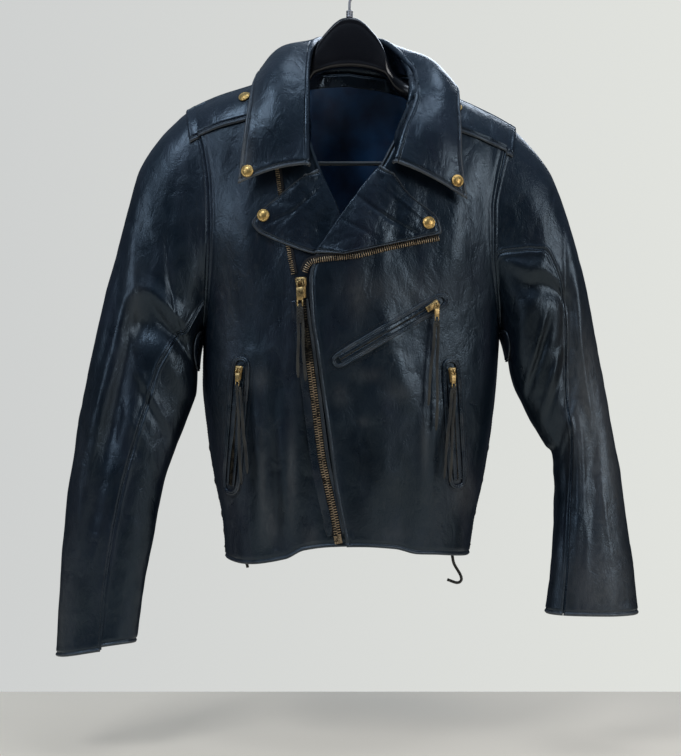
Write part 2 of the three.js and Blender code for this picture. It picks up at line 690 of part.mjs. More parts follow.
function sleeveSurface(side) {
  const ring = ringAt[side];
  return (angle, at) => {
    const t = clamp01(at);
    const out = point(ring.outX(t), ring.y(t), ring.outZ(t));
    const inn = point(ring.inX(t), ring.y(t), ring.inZ(t));
    const cos = Math.cos(angle * degrees);
    const sin = Math.sin(angle * degrees);
    const reach = out.clone().sub(inn).multiplyScalar(0.5);
    const fold = sleeveFolds[side].reduce((sum, f) => {
      const along = (t - f.at) / (f.length / 2);
      const wrapped = ((angle - f.angle - f.turn * along + 540) % 360) - 180;
      return sum + f.depth * Math.exp(-((wrapped / f.width) ** 2)) * ease(1.4 - 1.4 * Math.abs(along));
    }, 0);
    const grow = 1 + (fold * cos * cos) / reach.length();
    const place = out
      .clone()
      .add(inn)
      .multiplyScalar(0.5)
      .addScaledVector(reach, Math.sign(cos) * Math.abs(cos) ** boxiness * grow);
    place.y -= Math.sign(sin) * Math.abs(sin) ** boxiness * (ring.depth(t) + fold * Math.abs(sin));
    return armholeLine(side, angle).lerp(place, ease(t / sleeveJoin));
  };
}

// A wall whose inner face is moved within the ring's own plane, so that rims stay flat.
function sleevePanel(side, fromAngle, toAngle, columns) {
  const surface = sleeveSurface(side);
  const flip = signOf[side];
  const ring = ringAt[side];
  const placed = (u, t) => surface(lerp(fromAngle(t), toAngle(t), u), t);
  const inside = (u, t) => {
    const tt = Math.min(1 - 2e-3, Math.max(2e-3, t));
    const uu = Math.min(1 - 2e-3, Math.max(2e-3, u));
    const across = point(ring.outX(tt) - ring.inX(tt), 0, ring.outZ(tt) - ring.inZ(tt)).normalize();
    const axis = across.clone().cross(point(0, 1, 0));
    const out = normalOf(placed, uu, tt, flip);
    out.addScaledVector(axis, -out.dot(axis)).normalize();
    return placed(u, t).addScaledVector(out, -wall);
  };
  const rows = [0, 0.022, 0.05, 0.085, 0.13, ...evenly(0.185, 1, 13)];
  return gridWall(evenly(0, 1, columns), rows, placed, inside);
}

// ---- Pieces that lie on a front ----
// Place, across, along and up at a point of a front, for laying strips and blocks on it.
function frontFrame(side, x, z, lift) {
  const surface = frontPlace(side);
  const up = normalOf((a, b) => surface(a * 1000, b * 1000), x / 1000, z / 1000, -1);
  if (up.y > 0) up.negate();
  return { place: surface(x, z).addScaledVector(up, lift), up };
}

function strapAlong(side, line, width, thick, lift, steps, closed = false) {
  const flat = new THREE.CatmullRomCurve3(line.map(([x, z]) => point(x, 0, z)), closed, "centripetal");
  const count = closed ? steps - 1 : steps;
  const stations = Array.from({ length: count + 1 }, (_, i) => {
    const t = i / steps;
    const at = flat.getPointAt(t);
    const ahead = flat.getTangentAt(t);
    const { place, up } = frontFrame(side, at.x, at.z, lift);
    const along = ahead.addScaledVector(up, -ahead.dot(up)).normalize();
    return { place, up, across: up.clone().cross(along).normalize() };
  });
  return strip(stations, width, thick, closed);
}

const pairs = (rows) => rows.map((r) => [r.x, r.z]);

// A block with its foot on a front: size along the slot, across it and up.
function blockOn(side, x, z, direction, [length, width, height], lift) {
  const { place, up } = frontFrame(side, x, z, lift);
  const along = point(direction[0], 0, direction[1]).normalize();
  along.addScaledVector(up, -along.dot(up)).normalize();
  const across = up.clone().cross(along).normalize();
  const ends = [-0.5, 0.5].map((s) => ({
    place: place.clone().addScaledVector(along, s * length),
    across,
    up,
  }));
  return strip(ends, width, height);
}

// ---- Materials ----
const material = (colour, roughness, metalness = 0) =>
  new THREE.MeshStandardMaterial({ color: colour, roughness, metalness });
const leather = material(0x14171c, 0.42);
const wornLeather = material(0x1a1c20, 0.48);
const liningCloth = material(0x0d1c24, 0.4);
const brass = material(0xb08d45, 0.3, 1);
const oldBrass = material(0x8a6a3c, 0.42, 1);
const tapeCloth = material(0x0b0b0d, 0.9);
const thongLeather = material(0x2a2620, 0.7);
const plastic = material(0x08080a, 0.2);
const steel = material(0x9a9a9e, 0.3, 1);

const jacket = new THREE.Group();
const add = (name, geometry, finish) => {
  const mesh = new THREE.Mesh(geometry, finish);
  mesh.name = name;
  jacket.add(mesh);
  return mesh;
};

// ---- Body panels and sleeves ----
add("front_left", bodyPanel(frontSurface("left"), 11, 1), leather);
add("front_right", bodyPanel(frontSurface("right"), 11, -1), leather);
add("back", bodyPanel(backSurface, backColumns, 1), leather);

const seamTurn = 0.35; // half the gap between sleeve panels, in degrees
for (const side of ["left", "right"]) {
  const front = (t) => ringAt[side].seam(t);
  const back = () => backSeamAngle;
  add(
    `sleeve_top_${side}`,
    sleevePanel(side, (t) => back(t) - 360 + seamTurn, (t) => front(t) - seamTurn, 11),
    leather,
  );
  add(
    `sleeve_under_${side}`,
    sleevePanel(side, (t) => front(t) + seamTurn, (t) => back(t) - seamTurn, 8),
    leather,
  );
  // The underarm gusset: a pointed oval over the sleeve's foot at the armhole.
  const surface = sleeveSurface(side);
  const gusset = (u, v) => {
    const halfAngle = 24 * Math.sin(Math.PI * lerp(0.08, 0.92, v));
    return surface(172 + (u - 0.5) * 2 * halfAngle, lerp(0.045, 0.17, v));
  };
  const flip = signOf[side];
  add(
    `gusset_${side}`,
    wallUnder(gusset, evenly(0, 1, 4), evenly(0, 1, 5), 1.2, layerGap, flip),
    leather,
  );
}

// ---- Collar ----
const collarLine = (key) => {
  const parts = [0, 1, 2].map((i) =>
    curve(collarSections.map((r) => ({ at: r.at, value: r[key][i] })), "at", "value"),
  );
  return (s) => point(...parts.map((part) => part(clamp01(s))));
};
const seamLine = collarLine("seam");
const foldLine = collarLine("fold");
const edgeLine = collarLine("edge");
const leafLift = curve(collarSections, "at", "lift");
const collarRoll = 2.2; // half the space inside the collar's fold
const collarThick = 2.2;
const collarClear = 1.5; // least distance from the collar to the panels under it
const collarOverStrap = { left: 5, right: 6.2 }; // and more where it lies on a strap

// Moves a place straight out until it is at least `gap` from the body's surface.
function clearOfBody(place, gap) {
  const side = sideOf(place.x);
  if (place.y < 0 && Math.abs(place.x) < Math.abs(innerAt[side](place.z)) - 1) return place;
  for (let i = 0; i < 4; i++) {
    const face = place.y < 0 ? "front" : "back";
    const sign = place.y < 0 ? -1 : 1;
    const below = ridgeZ(place.x) - place.z;
    if (below > shoulderRound || Math.abs(place.x) < neckHalf[side] - 4) {
      const z = Math.min(place.z, ridgeZ(place.x));
      const shift = face === "front" ? -overlapShift[side](place.x, z) : 0;
      const deficit = gap + shift + faceDepth(face, place.x, z) - Math.abs(place.y);
      if (deficit > 0 && below > -2) place.y += sign * deficit;
      continue;
    }
    const wide = faceDepth(face, place.x, ridgeZ(place.x) - shoulderRound);
    const a = Math.abs(place.y) / wide;
    const b = (shoulderRound - below) / shoulderRound;
    const size = Math.hypot(a, b);
    const slope = Math.hypot(a / wide, b / shoulderRound);
    const deficit = gap - ((size - 1) * size) / slope;
    if (deficit <= 0) continue;
    place.y += (sign * deficit * (a / wide)) / slope;
    place.z += (deficit * (b / shoulderRound)) / slope;
  }
  return place;
}

// The stand's foot follows the panels' neck edges, just inside the opening,
// and its two front ends turn up on to the fronts.
const footInset = 2;
function collarFoot(s) {
  const foot = seamLine(s);
  const side = sideOf(foot.x);
  if (s > 0.37 && s < 0.63) {
    foot.z = ridgeZ(foot.x) + 0.9;
    foot.y = faceDepth("back", foot.x, foot.z);
    return foot;
  }
  const ends = ease((Math.abs(s - 0.5) - 0.39) / 0.09);
  foot.x = lerp(innerAt[side](foot.z) - signOf[side] * footInset, foot.x, ends);
  foot.y = -faceDepth("front", foot.x, foot.z) - 4.6 * ends;
  foot.z += 0.8;
  return foot;
}

// One line across the collar: up the stand, round the fold and down the leaf.
function collarRow(s) {
  const foot = collarFoot(s);
  const fold = foldLine(s);
  const edge = edgeLine(s);
  const ahead = foldLine(s + 0.01).sub(foldLine(s - 0.01)).normalize();
  const away = foot.clone().sub(fold).normalize().add(edge.clone().sub(fold).normalize()).negate();
  away.addScaledVector(ahead, -away.dot(ahead)).normalize();
  const across = ahead.clone().cross(away);
  if (across.dot(edge.clone().sub(foot)) < 0) across.negate();
  const turn = (angle) =>
    fold
      .clone()
      .addScaledVector(across, Math.cos(angle) * collarRoll)
      .addScaledVector(away, (Math.sin(angle) - 1) * collarRoll);
  const leafStart = turn(0);
  const standTop = turn(Math.PI);
  const lift = edge.clone().sub(leafStart).cross(ahead).normalize();
  if (lift.dot(foot.clone().sub(fold)) > 0) lift.negate();
  const leaf = evenly(0, 1, 5).map((t) =>
    leafStart.clone().lerp(edge, t).addScaledVector(lift, Math.sin(Math.PI * t) * leafLift(s)),
  );
  const roll = [0.25, 0.5, 0.75].map((t) => turn(Math.PI * (1 - t)));
  const stand = [foot.clone().lerp(standTop, 0.5), standTop, ...roll];
  const clear = (place) => {
    const overStrap = ease((Math.abs(place.x) - 92) / 16) * ease((place.z + 250) / 30);
    return clearOfBody(place, collarClear + collarOverStrap[sideOf(place.x)] * overStrap);
  };
  return [foot, ...[...stand, ...leaf].map(clear)];
}

// A wall whose inner face is a grid of points and whose outer face lies `thick` away.
function wallOver(grid, thick, flip) {
  const at = (j, i) => grid[j][i];
  const outer = grid.map((row, j) =>
    row.map((place, i) => {
      const alongU = at(j, Math.min(i + 1, row.length - 1)).clone().sub(at(j, Math.max(i - 1, 0)));
      const alongV = at(Math.min(j + 1, grid.length - 1), i)
        .clone()
        .sub(at(Math.max(j - 1, 0), i));
      return place.clone().addScaledVector(alongU.cross(alongV).normalize(), thick * flip);
    }),
  );
  const columns = grid[0].map((_, i) => i);
  const rows = grid.map((_, j) => j);
  return gridWall(columns, rows, (i, j) => outer[j][i].clone(), (i, j) => grid[j][i].clone());
}
const collarHalf = [0, 0.06, 0.115, 0.165, 0.205, 0.245, 0.285, 0.325, 0.365, 0.405, 0.45];
const collarSteps = [...collarHalf, 0.5, ...collarHalf.map((s) => 1 - s).reverse()];
const collarGrid = collarSteps.map(collarRow);
add("collar", wallOver(collarGrid, collarThick, -1), leather);

// ---- Lapels ----
const lapelColumns = ["rollX", "rollZ", "outX", "outZ", "arch", "edge"];
function lapelSurface(side) {
  const row = curves(lapelSections[side], "at", lapelColumns);
  return (u, v) => {
    const t = clamp01(v);
    const x = lerp(row.rollX(t), row.outX(t), clamp01(u));
    const z = lerp(row.rollZ(t), row.outZ(t), clamp01(u));
    const lift = lerp(lapelLift, row.edge(t), ease(u));
    const { place, up } = frontFrame(side, x, z, 0);
    return place.addScaledVector(up, lift + row.arch(t) * Math.sin(Math.PI * clamp01(u)));
  };
}
for (const side of ["left", "right"]) {
  const surface = lapelSurface(side);
  const grid = evenly(0, 1, 9).map((v) => evenly(0, 1, 5).map((u) => surface(u, v)));
  add(`lapel_${side}`, wallOver(grid, leatherPiece, -signOf[side]), leather);
}

// ---- Shoulder straps ----
// A place on the shoulder's curve: angle 0 at the ridge, 90 where the front hangs straight.
function shoulderPlace(x, angle) {
  const drop = shoulderRound * (1 - Math.cos(angle * degrees));
  return point(x, -faceDepth("front", x, ridgeZ(x) - drop), ridgeZ(x) - drop);
}
function strapSurface(side) {
  const { neckX, back, frontAtNeck, frontAtEnd, past } = straps[side];
  const sleeve = sleeveSurface(side);
  const armpitDrop = armhole[side][0].z - armpitZ;
  return (u, v) => {
    const front = lerp(frontAtNeck, frontAtEnd, clamp01(v));
    const angle = lerp(back, front, clamp01(u));
    const drop = shoulderRound * (1 - Math.cos(angle * degrees));
    if (v > 0.8) {
      const round = Math.acos(1 - (2 * drop) / armpitDrop) / degrees;
      return sleeve(round, ((v - 0.8) / 0.2) * past);
    }
    const end = armholeAt[side](armhole[side][0].z - drop);
    return shoulderPlace(signOf[side] * lerp(neckX, end, clamp01(v / 0.8)), angle);
  };
}
for (const side of ["left", "right"]) {
  const surface = strapSurface(side);
  const rows = [...evenly(0, 0.8, 5), 0.87, 0.94, 1];
  const grid = rows.map((v) => evenly(0, 1, 5).map((u) => surface(u, v)));
  const raised = (lift) =>
    grid.map((row, j) =>
      row.map((place, i) => {
        const alongU = row[Math.min(i + 1, 5)].clone().sub(row[Math.max(i - 1, 0)]);
        const after = grid[Math.min(j + 1, rows.length - 1)][i];
        const alongV = after.clone().sub(grid[Math.max(j - 1, 0)][i]);
        const up = alongU.cross(alongV).normalize().multiplyScalar(signOf[side]);
        return place.clone().addScaledVector(up, lift);
      }),
    );
  const under = raised(strapLift);
  const over = raised(strapLift + leatherPiece);
  const columns = evenly(0, 5, 5);
  const lines = rows.map((_, j) => j);
  add(
    `epaulet_${side}`,
    gridWall(columns, lines, (i, j) => over[j][i].clone(), (i, j) => under[j][i].clone()),
    leather,
  );
}

// ---- Snaps ----
// A domed cap with its foot at a place and its top along a direction.
function snapAt(name, place, up) {
  const profile = [
    [0, 0],
    [snapRadius * 0.94, 0],
    [snapRadius, snapHeight * 0.2],
    [snapRadius * 0.9, snapHeight * 0.55],
    [snapRadius * 0.6, snapHeight * 0.88],
    [0, snapHeight],
  ].map(([x, y]) => new THREE.Vector2(x, y));
  const mesh = add(name, new THREE.LatheGeometry(profile, 14), brass);
  mesh.position.copy(place);
  mesh.quaternion.setFromUnitVectors(point(0, 1, 0), up);
}
// Over a grid wall's outer face: the place of a point between its grid lines, and its normal.
function gridSpot(surface, u, v, flip, lift) {
  const up = normalOf(surface, u, v, flip);
  return { place: surface(u, v).addScaledVector(up, lift), up };
}
const leafAt = (u, v) => {
  const row = collarRow(v);
  const leaf = row.slice(6);
  const t = clamp01(u) * 5;
  const i = Math.min(4, Math.floor(t));
  return leaf[i].clone().lerp(leaf[i + 1], t - i);
};
const snapGap = 0.5;
const snapSpots = [
  ["snap_collar_left", leafAt, 0.86, 0.022, -1, collarThick + 0.3],
  ["snap_collar_right", leafAt, 0.86, 0.972, -1, collarThick + 0.3],
  ["snap_lapel_left", lapelSurface("left"), 0.87, 0.46, 1, leatherPiece],
  ["snap_lapel_right", lapelSurface("right"), 0.86, 0.49, -1, leatherPiece],
  ["snap_epaulet_left", strapSurface("left"), 0.46, 0.18, -1, strapLift + leatherPiece],
  ["snap_epaulet_right", strapSurface("right"), 0.46, 0.14, 1, strapLift + leatherPiece],
];
for (const [name, surface, u, v, flip, thick] of snapSpots) {
  const { place, up } = gridSpot(surface, u, v, flip, thick + snapGap);
  snapAt(name, place, up);
}

// ---- Zips ----
const tapeLift = 0.9;
const wasm = await Module();
wasm.setup();

// Several closed solids joined into one.
function fuse(geometries) {
  const solids = geometries.map((geometry) => {
    const merged = mergeVertices(
      new THREE.BufferGeometry().setAttribute(
        "position",
        (geometry.index ? geometry.toNonIndexed() : geometry).getAttribute("position"),
      ),
      1e-4,
    );
    return new wasm.Manifold(
      new wasm.Mesh({
        numProp: 3,
        vertProperties: new Float32Array(merged.attributes.position.array),
        triVerts: new Uint32Array(merged.index.array),
      }),
    );
  });
  const whole = solids.reduce((sum, next) => sum.add(next)).getMesh();
  const geometry = new THREE.BufferGeometry();
  geometry.setAttribute("position", new THREE.Float32BufferAttribute(whole.vertProperties, 3));
  geometry.setIndex([...whole.triVerts]);
  geometry.computeVertexNormals();
  return geometry;
}

add("main_tape", strapAlong("middle", pairs(mainChain), 17, tapeThick, -0.2, 13), tapeCloth);
add("main_teeth", strapAlong("middle", pairs(mainChain), mainTeeth, teethThick, 1, 13), oldBrass);
add("left_tape_teeth", strapAlong("left", pairs(leftTeeth), 4.6, 2.2, 0.7, 8), oldBrass);
add("right_tape_teeth", strapAlong("right", pairs(rightTeeth), 5.4, 2.4, 0.9, 16), oldBrass);

// The slider's body, pointed up: a tapered block with the bridge that holds the tab.
// Its own frame: x across, y out of the cloth, z up along the zip; the tab's axis is at z 0.
function sliderGeometry(k, turn) {
  const half = slider.width / 2;
  const shape = new THREE.Shape();
  const top = slider.axisAt;
  const outline = [
    [-half * 0.72, top],
    [-half, top - 4],
    [-half, top - 10],
    [-slider.waist / 2, top - slider.length],
    [slider.waist / 2, top - slider.length],
    [half, top - 10],
    [half, top - 4],
    [half * 0.72, top],
  ];
  outline.forEach(([x, z], i) => shape[i ? "lineTo" : "moveTo"](x, z));
  const body = new THREE.ExtrudeGeometry(shape, { depth: slider.thick, bevelEnabled: false });
  body.rotateX(Math.PI / 2); // the outline stands upright; the thickness runs along -y
  const reach = tab.bar + 0.75;
  const bow = new THREE.Shape();
  const outer = reach + 1.4;
  const rise = tab.bar + 0.9; // the axis above the body's face
  bow.moveTo(-outer, -rise - 0.6);
  evenly(180, 0, 8).forEach((a) =>
    bow.lineTo(Math.cos(a * degrees) * outer, Math.sin(a * degrees) * outer),
  );
  bow.lineTo(outer, -rise - 0.6);
  bow.lineTo(reach, -rise - 0.6);
  evenly(0, 180, 8).forEach((a) =>
    bow.lineTo(Math.cos(a * degrees) * reach, Math.sin(a * degrees) * reach),
  );
  bow.lineTo(-reach, -rise - 0.6);
  const bridge = new THREE.ExtrudeGeometry(bow, { depth: slider.bridgeWidth, bevelEnabled: false });
  bridge.translate(0, 0, -slider.bridgeWidth / 2);
  // Its own x runs along the zip and its own y out of the cloth.
  bridge.applyMatrix4(new THREE.Matrix4().makeBasis(point(0, 0, 1), point(0, -1, 0), point(1, 0, 0)));
  bridge.rotateY(turn).translate(0, -slider.thick - rise, 0);
  return fuse([body, bridge]).scale(k, k, k);
}
const tabAxisOut = slider.thick + tab.bar + 0.9;

// The tab hangs from its top bar, whose middle is at the frame's zero.
function tabGeometry(k) {
  const shape = new THREE.Shape();
  const half = tab.width / 2;
  const foot = -tab.length + tab.bar;
  const outline = [
    [-half * 0.8, tab.bar],
    [half * 0.8, tab.bar],
    [half, tab.bar - 1.6],
    [half, -12],
    [tab.foot / 2, -15],
    [tab.foot / 2, foot + 2.5],
    [tab.foot / 4, foot],
    [-tab.foot / 4, foot],
    [-tab.foot / 2, foot + 2.5],
    [-tab.foot / 2, -15],
    [-half, -12],
    [-half, tab.bar - 1.6],
  ];
  outline.forEach(([x, z], i) => shape[i ? "lineTo" : "moveTo"](x, z));
  const hole = (x0, z0, x1, z1) => {
    const path = new THREE.Path();
    [
      [x0, z0],
      [x1, z0],
      [x1, z1],
      [x0, z1],
    ].forEach(([x, z], i) => path[i ? "lineTo" : "moveTo"](x, z));
    shape.holes.push(path);
  };
  hole(-tab.eyeWidth / 2, -tab.bar - tab.eyeLength, tab.eyeWidth / 2, -tab.bar);
  hole(-1.8, foot + 1.6, 1.8, foot + 5.2);
  const plate = new THREE.ExtrudeGeometry(shape, { depth: tab.thick, bevelEnabled: false });
  plate.rotateX(Math.PI / 2).translate(0, tab.thick / 2, 0);
  return plate.scale(k, k, k);
}

// Turns a piece's own frame, whose z runs along the zip, to lie on the front at a place.
function turnTo(mesh, origin, along, up) {
  const across = along.clone().cross(up).normalize();
  const basis = new THREE.Matrix4().makeBasis(across, up.clone().negate(), along);
  mesh.quaternion.setFromRotationMatrix(basis);
  mesh.position.copy(origin);
}

// A slider on a zip, its tab hanging straight down, and the tab's two thongs.
function addPull(name, place, up, along, k, thongs, finish) {
  // The bridge stands upright, whichever way the zip runs.
  const upright = point(0, 0, 1).addScaledVector(up, -up.z).normalize();
  const turn = Math.atan2(along.clone().cross(upright).dot(up), along.dot(upright));
  const slide = add(`${name}_slider`, sliderGeometry(k, -turn), finish);
  turnTo(slide, place, along, up);
  const pivot = place.clone().addScaledVector(up, tabAxisOut * k);
  // The axis lies level in the cloth's face, so that the tab can hang from it.
  const level = point(1, 0, 0).addScaledVector(up, -up.x).normalize();
  level.z = 0;
  level.normalize();
  const hang = add(`${name}_tab`, tabGeometry(k), finish);
  const forward = level.clone().cross(point(0, 0, 1));
  hang.quaternion.setFromRotationMatrix(
    new THREE.Matrix4().makeBasis(level, forward.negate(), point(0, 0, 1)),
  );
  hang.position.copy(pivot);
  const start = pivot.clone();
  start.z -= (tab.length - tab.bar) * k + 0.5;
  thongs.forEach((strand, i) => {
    const stations = evenly(0, 1, 4).map((t) => {
      const down = strand.length * t;
      const out = strand.lean * down;
      const place = start
        .clone()
        .addScaledVector(level, strand.beside + out)
        .add(point(0, 0, -down));
      return { place, across: level.clone(), up: level.clone().cross(point(0, 0, 1)) };
    });
    stations.forEach((s) => s.place.addScaledVector(s.up, -thong.thick / 2));
    add(`${name}_thong_${i + 1}`, strip(stations, thong.width, thong.thick), thongLeather);
  });
  return pivot;
}

{
  const { place, up } = frontFrame("middle", mainPull.x, mainPull.z + slider.length / 2, 1.1);
  const along = point(-0.07, 0, 1);
  along.addScaledVector(up, -along.dot(up)).normalize();
  place.addScaledVector(along, -slider.axisAt);
  addPull("main", place, up, along, 1, mainPull.thongs, brass);
}
const stop = blockOn("middle", -14.3, -716.6, [0.2, -1], [9.5, 9, 3.4], 0.7);
add("main_stop", stop, brass);

for (const [name, pocket] of Object.entries(pockets)) {
  const { top, foot, side } = pocket;
  const run = new THREE.Vector2(foot.x - top.x, foot.z - top.z);
  const length = run.length();
  run.normalize();
  const beside = new THREE.Vector2(-run.y, run.x);
  const spot = (along, across) => [
    top.x + run.x * along + beside.x * across,
    top.z + run.y * along + beside.y * across,
  ];
  const reach = (pocket.slot + pocket.lip) / 2;
  const corner = reach * 0.72;
  const sideStops = evenly(0.12, 0.88, 5).map((t) => t * length);
  const loop = [
    spot(-reach * 0.55, -corner),
    ...sideStops.map((d) => spot(d, -reach)),
    spot(length + reach * 0.55, -corner),
    spot(length + reach * 0.55, corner),
    ...[...sideStops].reverse().map((d) => spot(d, reach)),
    spot(-reach * 0.55, corner),
  ];
  add(`${name}_welt`, strapAlong(side, loop, pocket.lip, lipThick, 0.8, 26, true), leather);
  const chain = [0.01, 0.25, 0.5, 0.75, 0.99].map((t) => spot(t * length, 0));
  add(`${name}_teeth`, strapAlong(side, chain, pocketTeeth, teethThick, 0.8, 6), oldBrass);
  const [x, z] = spot(pocket.slider - slider.axisAt * pocketZipScale, 0);
  const { place, up } = frontFrame(side, x, z, 3.6);
  const along = point(-run.x, 0, -run.y);
  along.addScaledVector(up, -along.dot(up)).normalize();
  addPull(name, place, up, along, pocketZipScale, pocket.thongs, brass);
}

// ---- Side laces ----
// A place on the back panel near the side seam, from its depth, moved out by `lift`.
function backSide(side, y, z, lift) {
  const at = (depth) => {
    const oval = (depth / section.back(z)) ** (2 / boxiness);
    return section[side](z) * Math.sqrt(1 - oval);
  };
  const slope = (at(y + 0.5) - at(y - 0.5)) / 1;
  const out = new THREE.Vector2(1, -slope).normalize().multiplyScalar(lift);
  return point(signOf[side] * (at(y) + out.x), y + out.y, z);
}
for (const side of ["left", "right"]) {
  const foot = hem.back[side === "left" ? 0 : hem.back.length - 1].z + 10;
  const crossing = evenly(0, 1, lacing.crossings).map((t, i) => {
    const y = lacing.behind + (i % 2 ? lacing.reach : -lacing.reach);
    return backSide(side, y, lerp(lacing.top, foot, t), laceDiameter / 2 + 1.2);
  });
  add(`lace_${side}`, tube(crossing, laceDiameter / 2, 21, 5), tapeCloth);
  const end = laceEnds[side].map(({ x, y, z }) => point(x, y, z));
  const tied = end[0];
  tied.y = faceDepth("back", tied.x, tied.z) - wall - laceDiameter / 2 - 2.2;
  add(`lace_end_${side}`, tube(end, laceDiameter / 2, 12, 6), tapeCloth);
}

// ---- Lining ----
// A piece that lines the back between two of its rows, on the back's own grid lines.
function backLining(columns, rows, gap, thick) {
  const us = evenly(columns.from / backColumns, columns.to / backColumns, columns.to - columns.from);
  const lines = panelRows.slice(rows.from, rows.to + 1);
  lines[0] = lerp(lines[0], lines[1], 0.04);
  const near = panelInside(backSurface, 1, wall + gap);
  const far = panelInside(backSurface, 1, wall + gap + thick);
  return gridWall(us, lines, near, far);
}
add("neck_facing", backLining({ from: 6, to: 10 }, { from: 1, to: 3 }, 0.9, 1.2), leather);
add("back_lining", backLining({ from: 3, to: 13 }, { from: 3, to: 13 }, 0.9, 1), liningCloth);

// ---- Hanger ----
const hangerAt = curves(hangerSections, "x", ["top", "bottom", "half", "box"]);
const hangerEnd = hangerSections[hangerSections.length - 1].x;
const hangerRings = [
  ...evenly(-hangerEnd, -62, 6),
  ...evenly(-54, 54, 12),
  ...evenly(62, hangerEnd, 6),
];
const hangerSides = 10;
add(
  "hanger",
  loft(
    hangerRings.map((x) => {
      const at = Math.abs(x);
      const tall = (hangerAt.top(at) - hangerAt.bottom(at)) / 2;
      return Array.from({ length: hangerSides }, (_, i) => {
        const a = ((i + 0.5) / hangerSides) * 2 * Math.PI;
        const power = (v) => Math.sign(v) * Math.abs(v) ** hangerAt.box(at);
        return point(
          x,
          hangerAt.half(at) * power(Math.cos(a)),
          hangerAt.top(at) - tall + tall * power(Math.sin(a)),
        );
      });
    }),
  ),
  plastic,
);
const barFoot = hangerAt.bottom(hangerBar.half) - 0.2;
const barLine = [-1, 1].flatMap((s) => {
  const x = s * hangerBar.half;
  const corner = [
    point(x, 0, barFoot),
    point(x, 0, hangerBar.z + hangerBar.bend),
    point(x - s * 2.5, 0, hangerBar.z + 3.5),
    point(x - s * hangerBar.bend, 0, hangerBar.z),
  ];
  return s < 0 ? corner : corner.reverse();
});
add("hanger_bar", tube(barLine, hangerBar.diameter / 2, 20, 6), plastic);
const cap = new THREE.CylinderGeometry(
  ferrule.radius,
  ferrule.radius,
  ferrule.top - ferrule.foot,
  12,
).rotateX(Math.PI / 2);
add("hook_ferrule", cap, steel).position.set(0, 0, (ferrule.top + ferrule.foot) / 2);

const hookRadius = hookInside + hookWire / 2;
const hookLine = [
  point(0, 0, ferrule.top + 0.5),
  point(0, 0, -53),
  point(1.2, 0, -47),
  point(6.5, 0, -40.5),
  ...evenly(-48, 214, 14).map((a) =>
    point(Math.cos(a * degrees) * hookRadius, 0, -hookInside + Math.sin(a * degrees) * hookRadius),
  ),
];
add("hook", tube(hookLine, hookWire / 2, 30, 6), steel);

jacket.updateMatrixWorld(true);
export default jacket;
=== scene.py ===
# A black leather biker jacket on a moulded hanger, dressed over its CAD frame.
# The frame is in metres, +Z up, and the jacket faces -Y; left and right are as seen from
# the front. Shapes below are worked out in millimetres and turned to metres in makeMesh.
import json
import math
import bpy
import numpy as np
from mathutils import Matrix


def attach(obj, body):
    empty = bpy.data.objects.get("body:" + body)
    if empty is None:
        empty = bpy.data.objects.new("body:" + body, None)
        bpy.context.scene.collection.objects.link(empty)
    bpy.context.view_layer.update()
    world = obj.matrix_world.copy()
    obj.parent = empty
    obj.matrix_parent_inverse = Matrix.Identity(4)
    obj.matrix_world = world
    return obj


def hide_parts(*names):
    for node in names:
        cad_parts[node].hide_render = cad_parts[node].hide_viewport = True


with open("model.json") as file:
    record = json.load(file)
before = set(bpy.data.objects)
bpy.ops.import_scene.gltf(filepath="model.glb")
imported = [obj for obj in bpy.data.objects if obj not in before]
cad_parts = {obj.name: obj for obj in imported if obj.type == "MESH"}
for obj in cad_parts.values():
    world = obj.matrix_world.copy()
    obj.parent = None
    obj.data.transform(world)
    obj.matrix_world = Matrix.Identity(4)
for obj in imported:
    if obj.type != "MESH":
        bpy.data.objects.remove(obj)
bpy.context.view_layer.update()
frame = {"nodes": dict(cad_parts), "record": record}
jacketBody = "jacket_on_hanger"
signOf = {"left": -1, "right": 1}
print("frame loaded")

# The camera looks straight at the front.
cameraSetup = {"place": (-0.0114, -1.680, -0.5236), "lens": 63.49, "sensor": 36.0}
cameraData = bpy.data.cameras.new("studioCamera")
cameraData.lens = cameraSetup["lens"]
cameraData.sensor_width = cameraSetup["sensor"]
cameraObject = bpy.data.objects.new("studioCamera", cameraData)
cameraObject.location = cameraSetup["place"]
cameraObject.rotation_euler = (math.pi / 2, 0, 0)
bpy.context.scene.collection.objects.link(cameraObject)
bpy.context.scene.camera = cameraObject


# Small mathematics, all on whole arrays.
def ease(t):
    # Smooth step: 0 below 0, 1 above 1, cubic between.
    t = np.clip(t, 0, 1)
    return t * t * (3 - 2 * t)


def mix(a, b, t):
    # From a to b in a straight line.
    return a + (b - a) * t


def xyz(x, y, z):
    # Points from three arrays of one shape.
    return np.stack([x, y, z], axis=-1)


def bump(distance, centre, width):
    # A bell of height 1 round a centre.
    return np.exp(-(((distance - centre) / width) ** 2))


def unit(v):
    # Each vector divided by its length.
    return v / np.maximum(np.linalg.norm(v, axis=-1, keepdims=True), 1e-12)


def stepsAlong(grid, axis=0):
    # Distances between neighbouring points, down (0) or across (1) a grid.
    return np.linalg.norm(np.diff(grid, axis=axis), axis=-1)


def runLengths(points):
    # How far along a line each of its points lies.
    return np.r_[0, np.cumsum(stepsAlong(points))]


def lengthOf(points):
    return float(stepsAlong(points).sum())


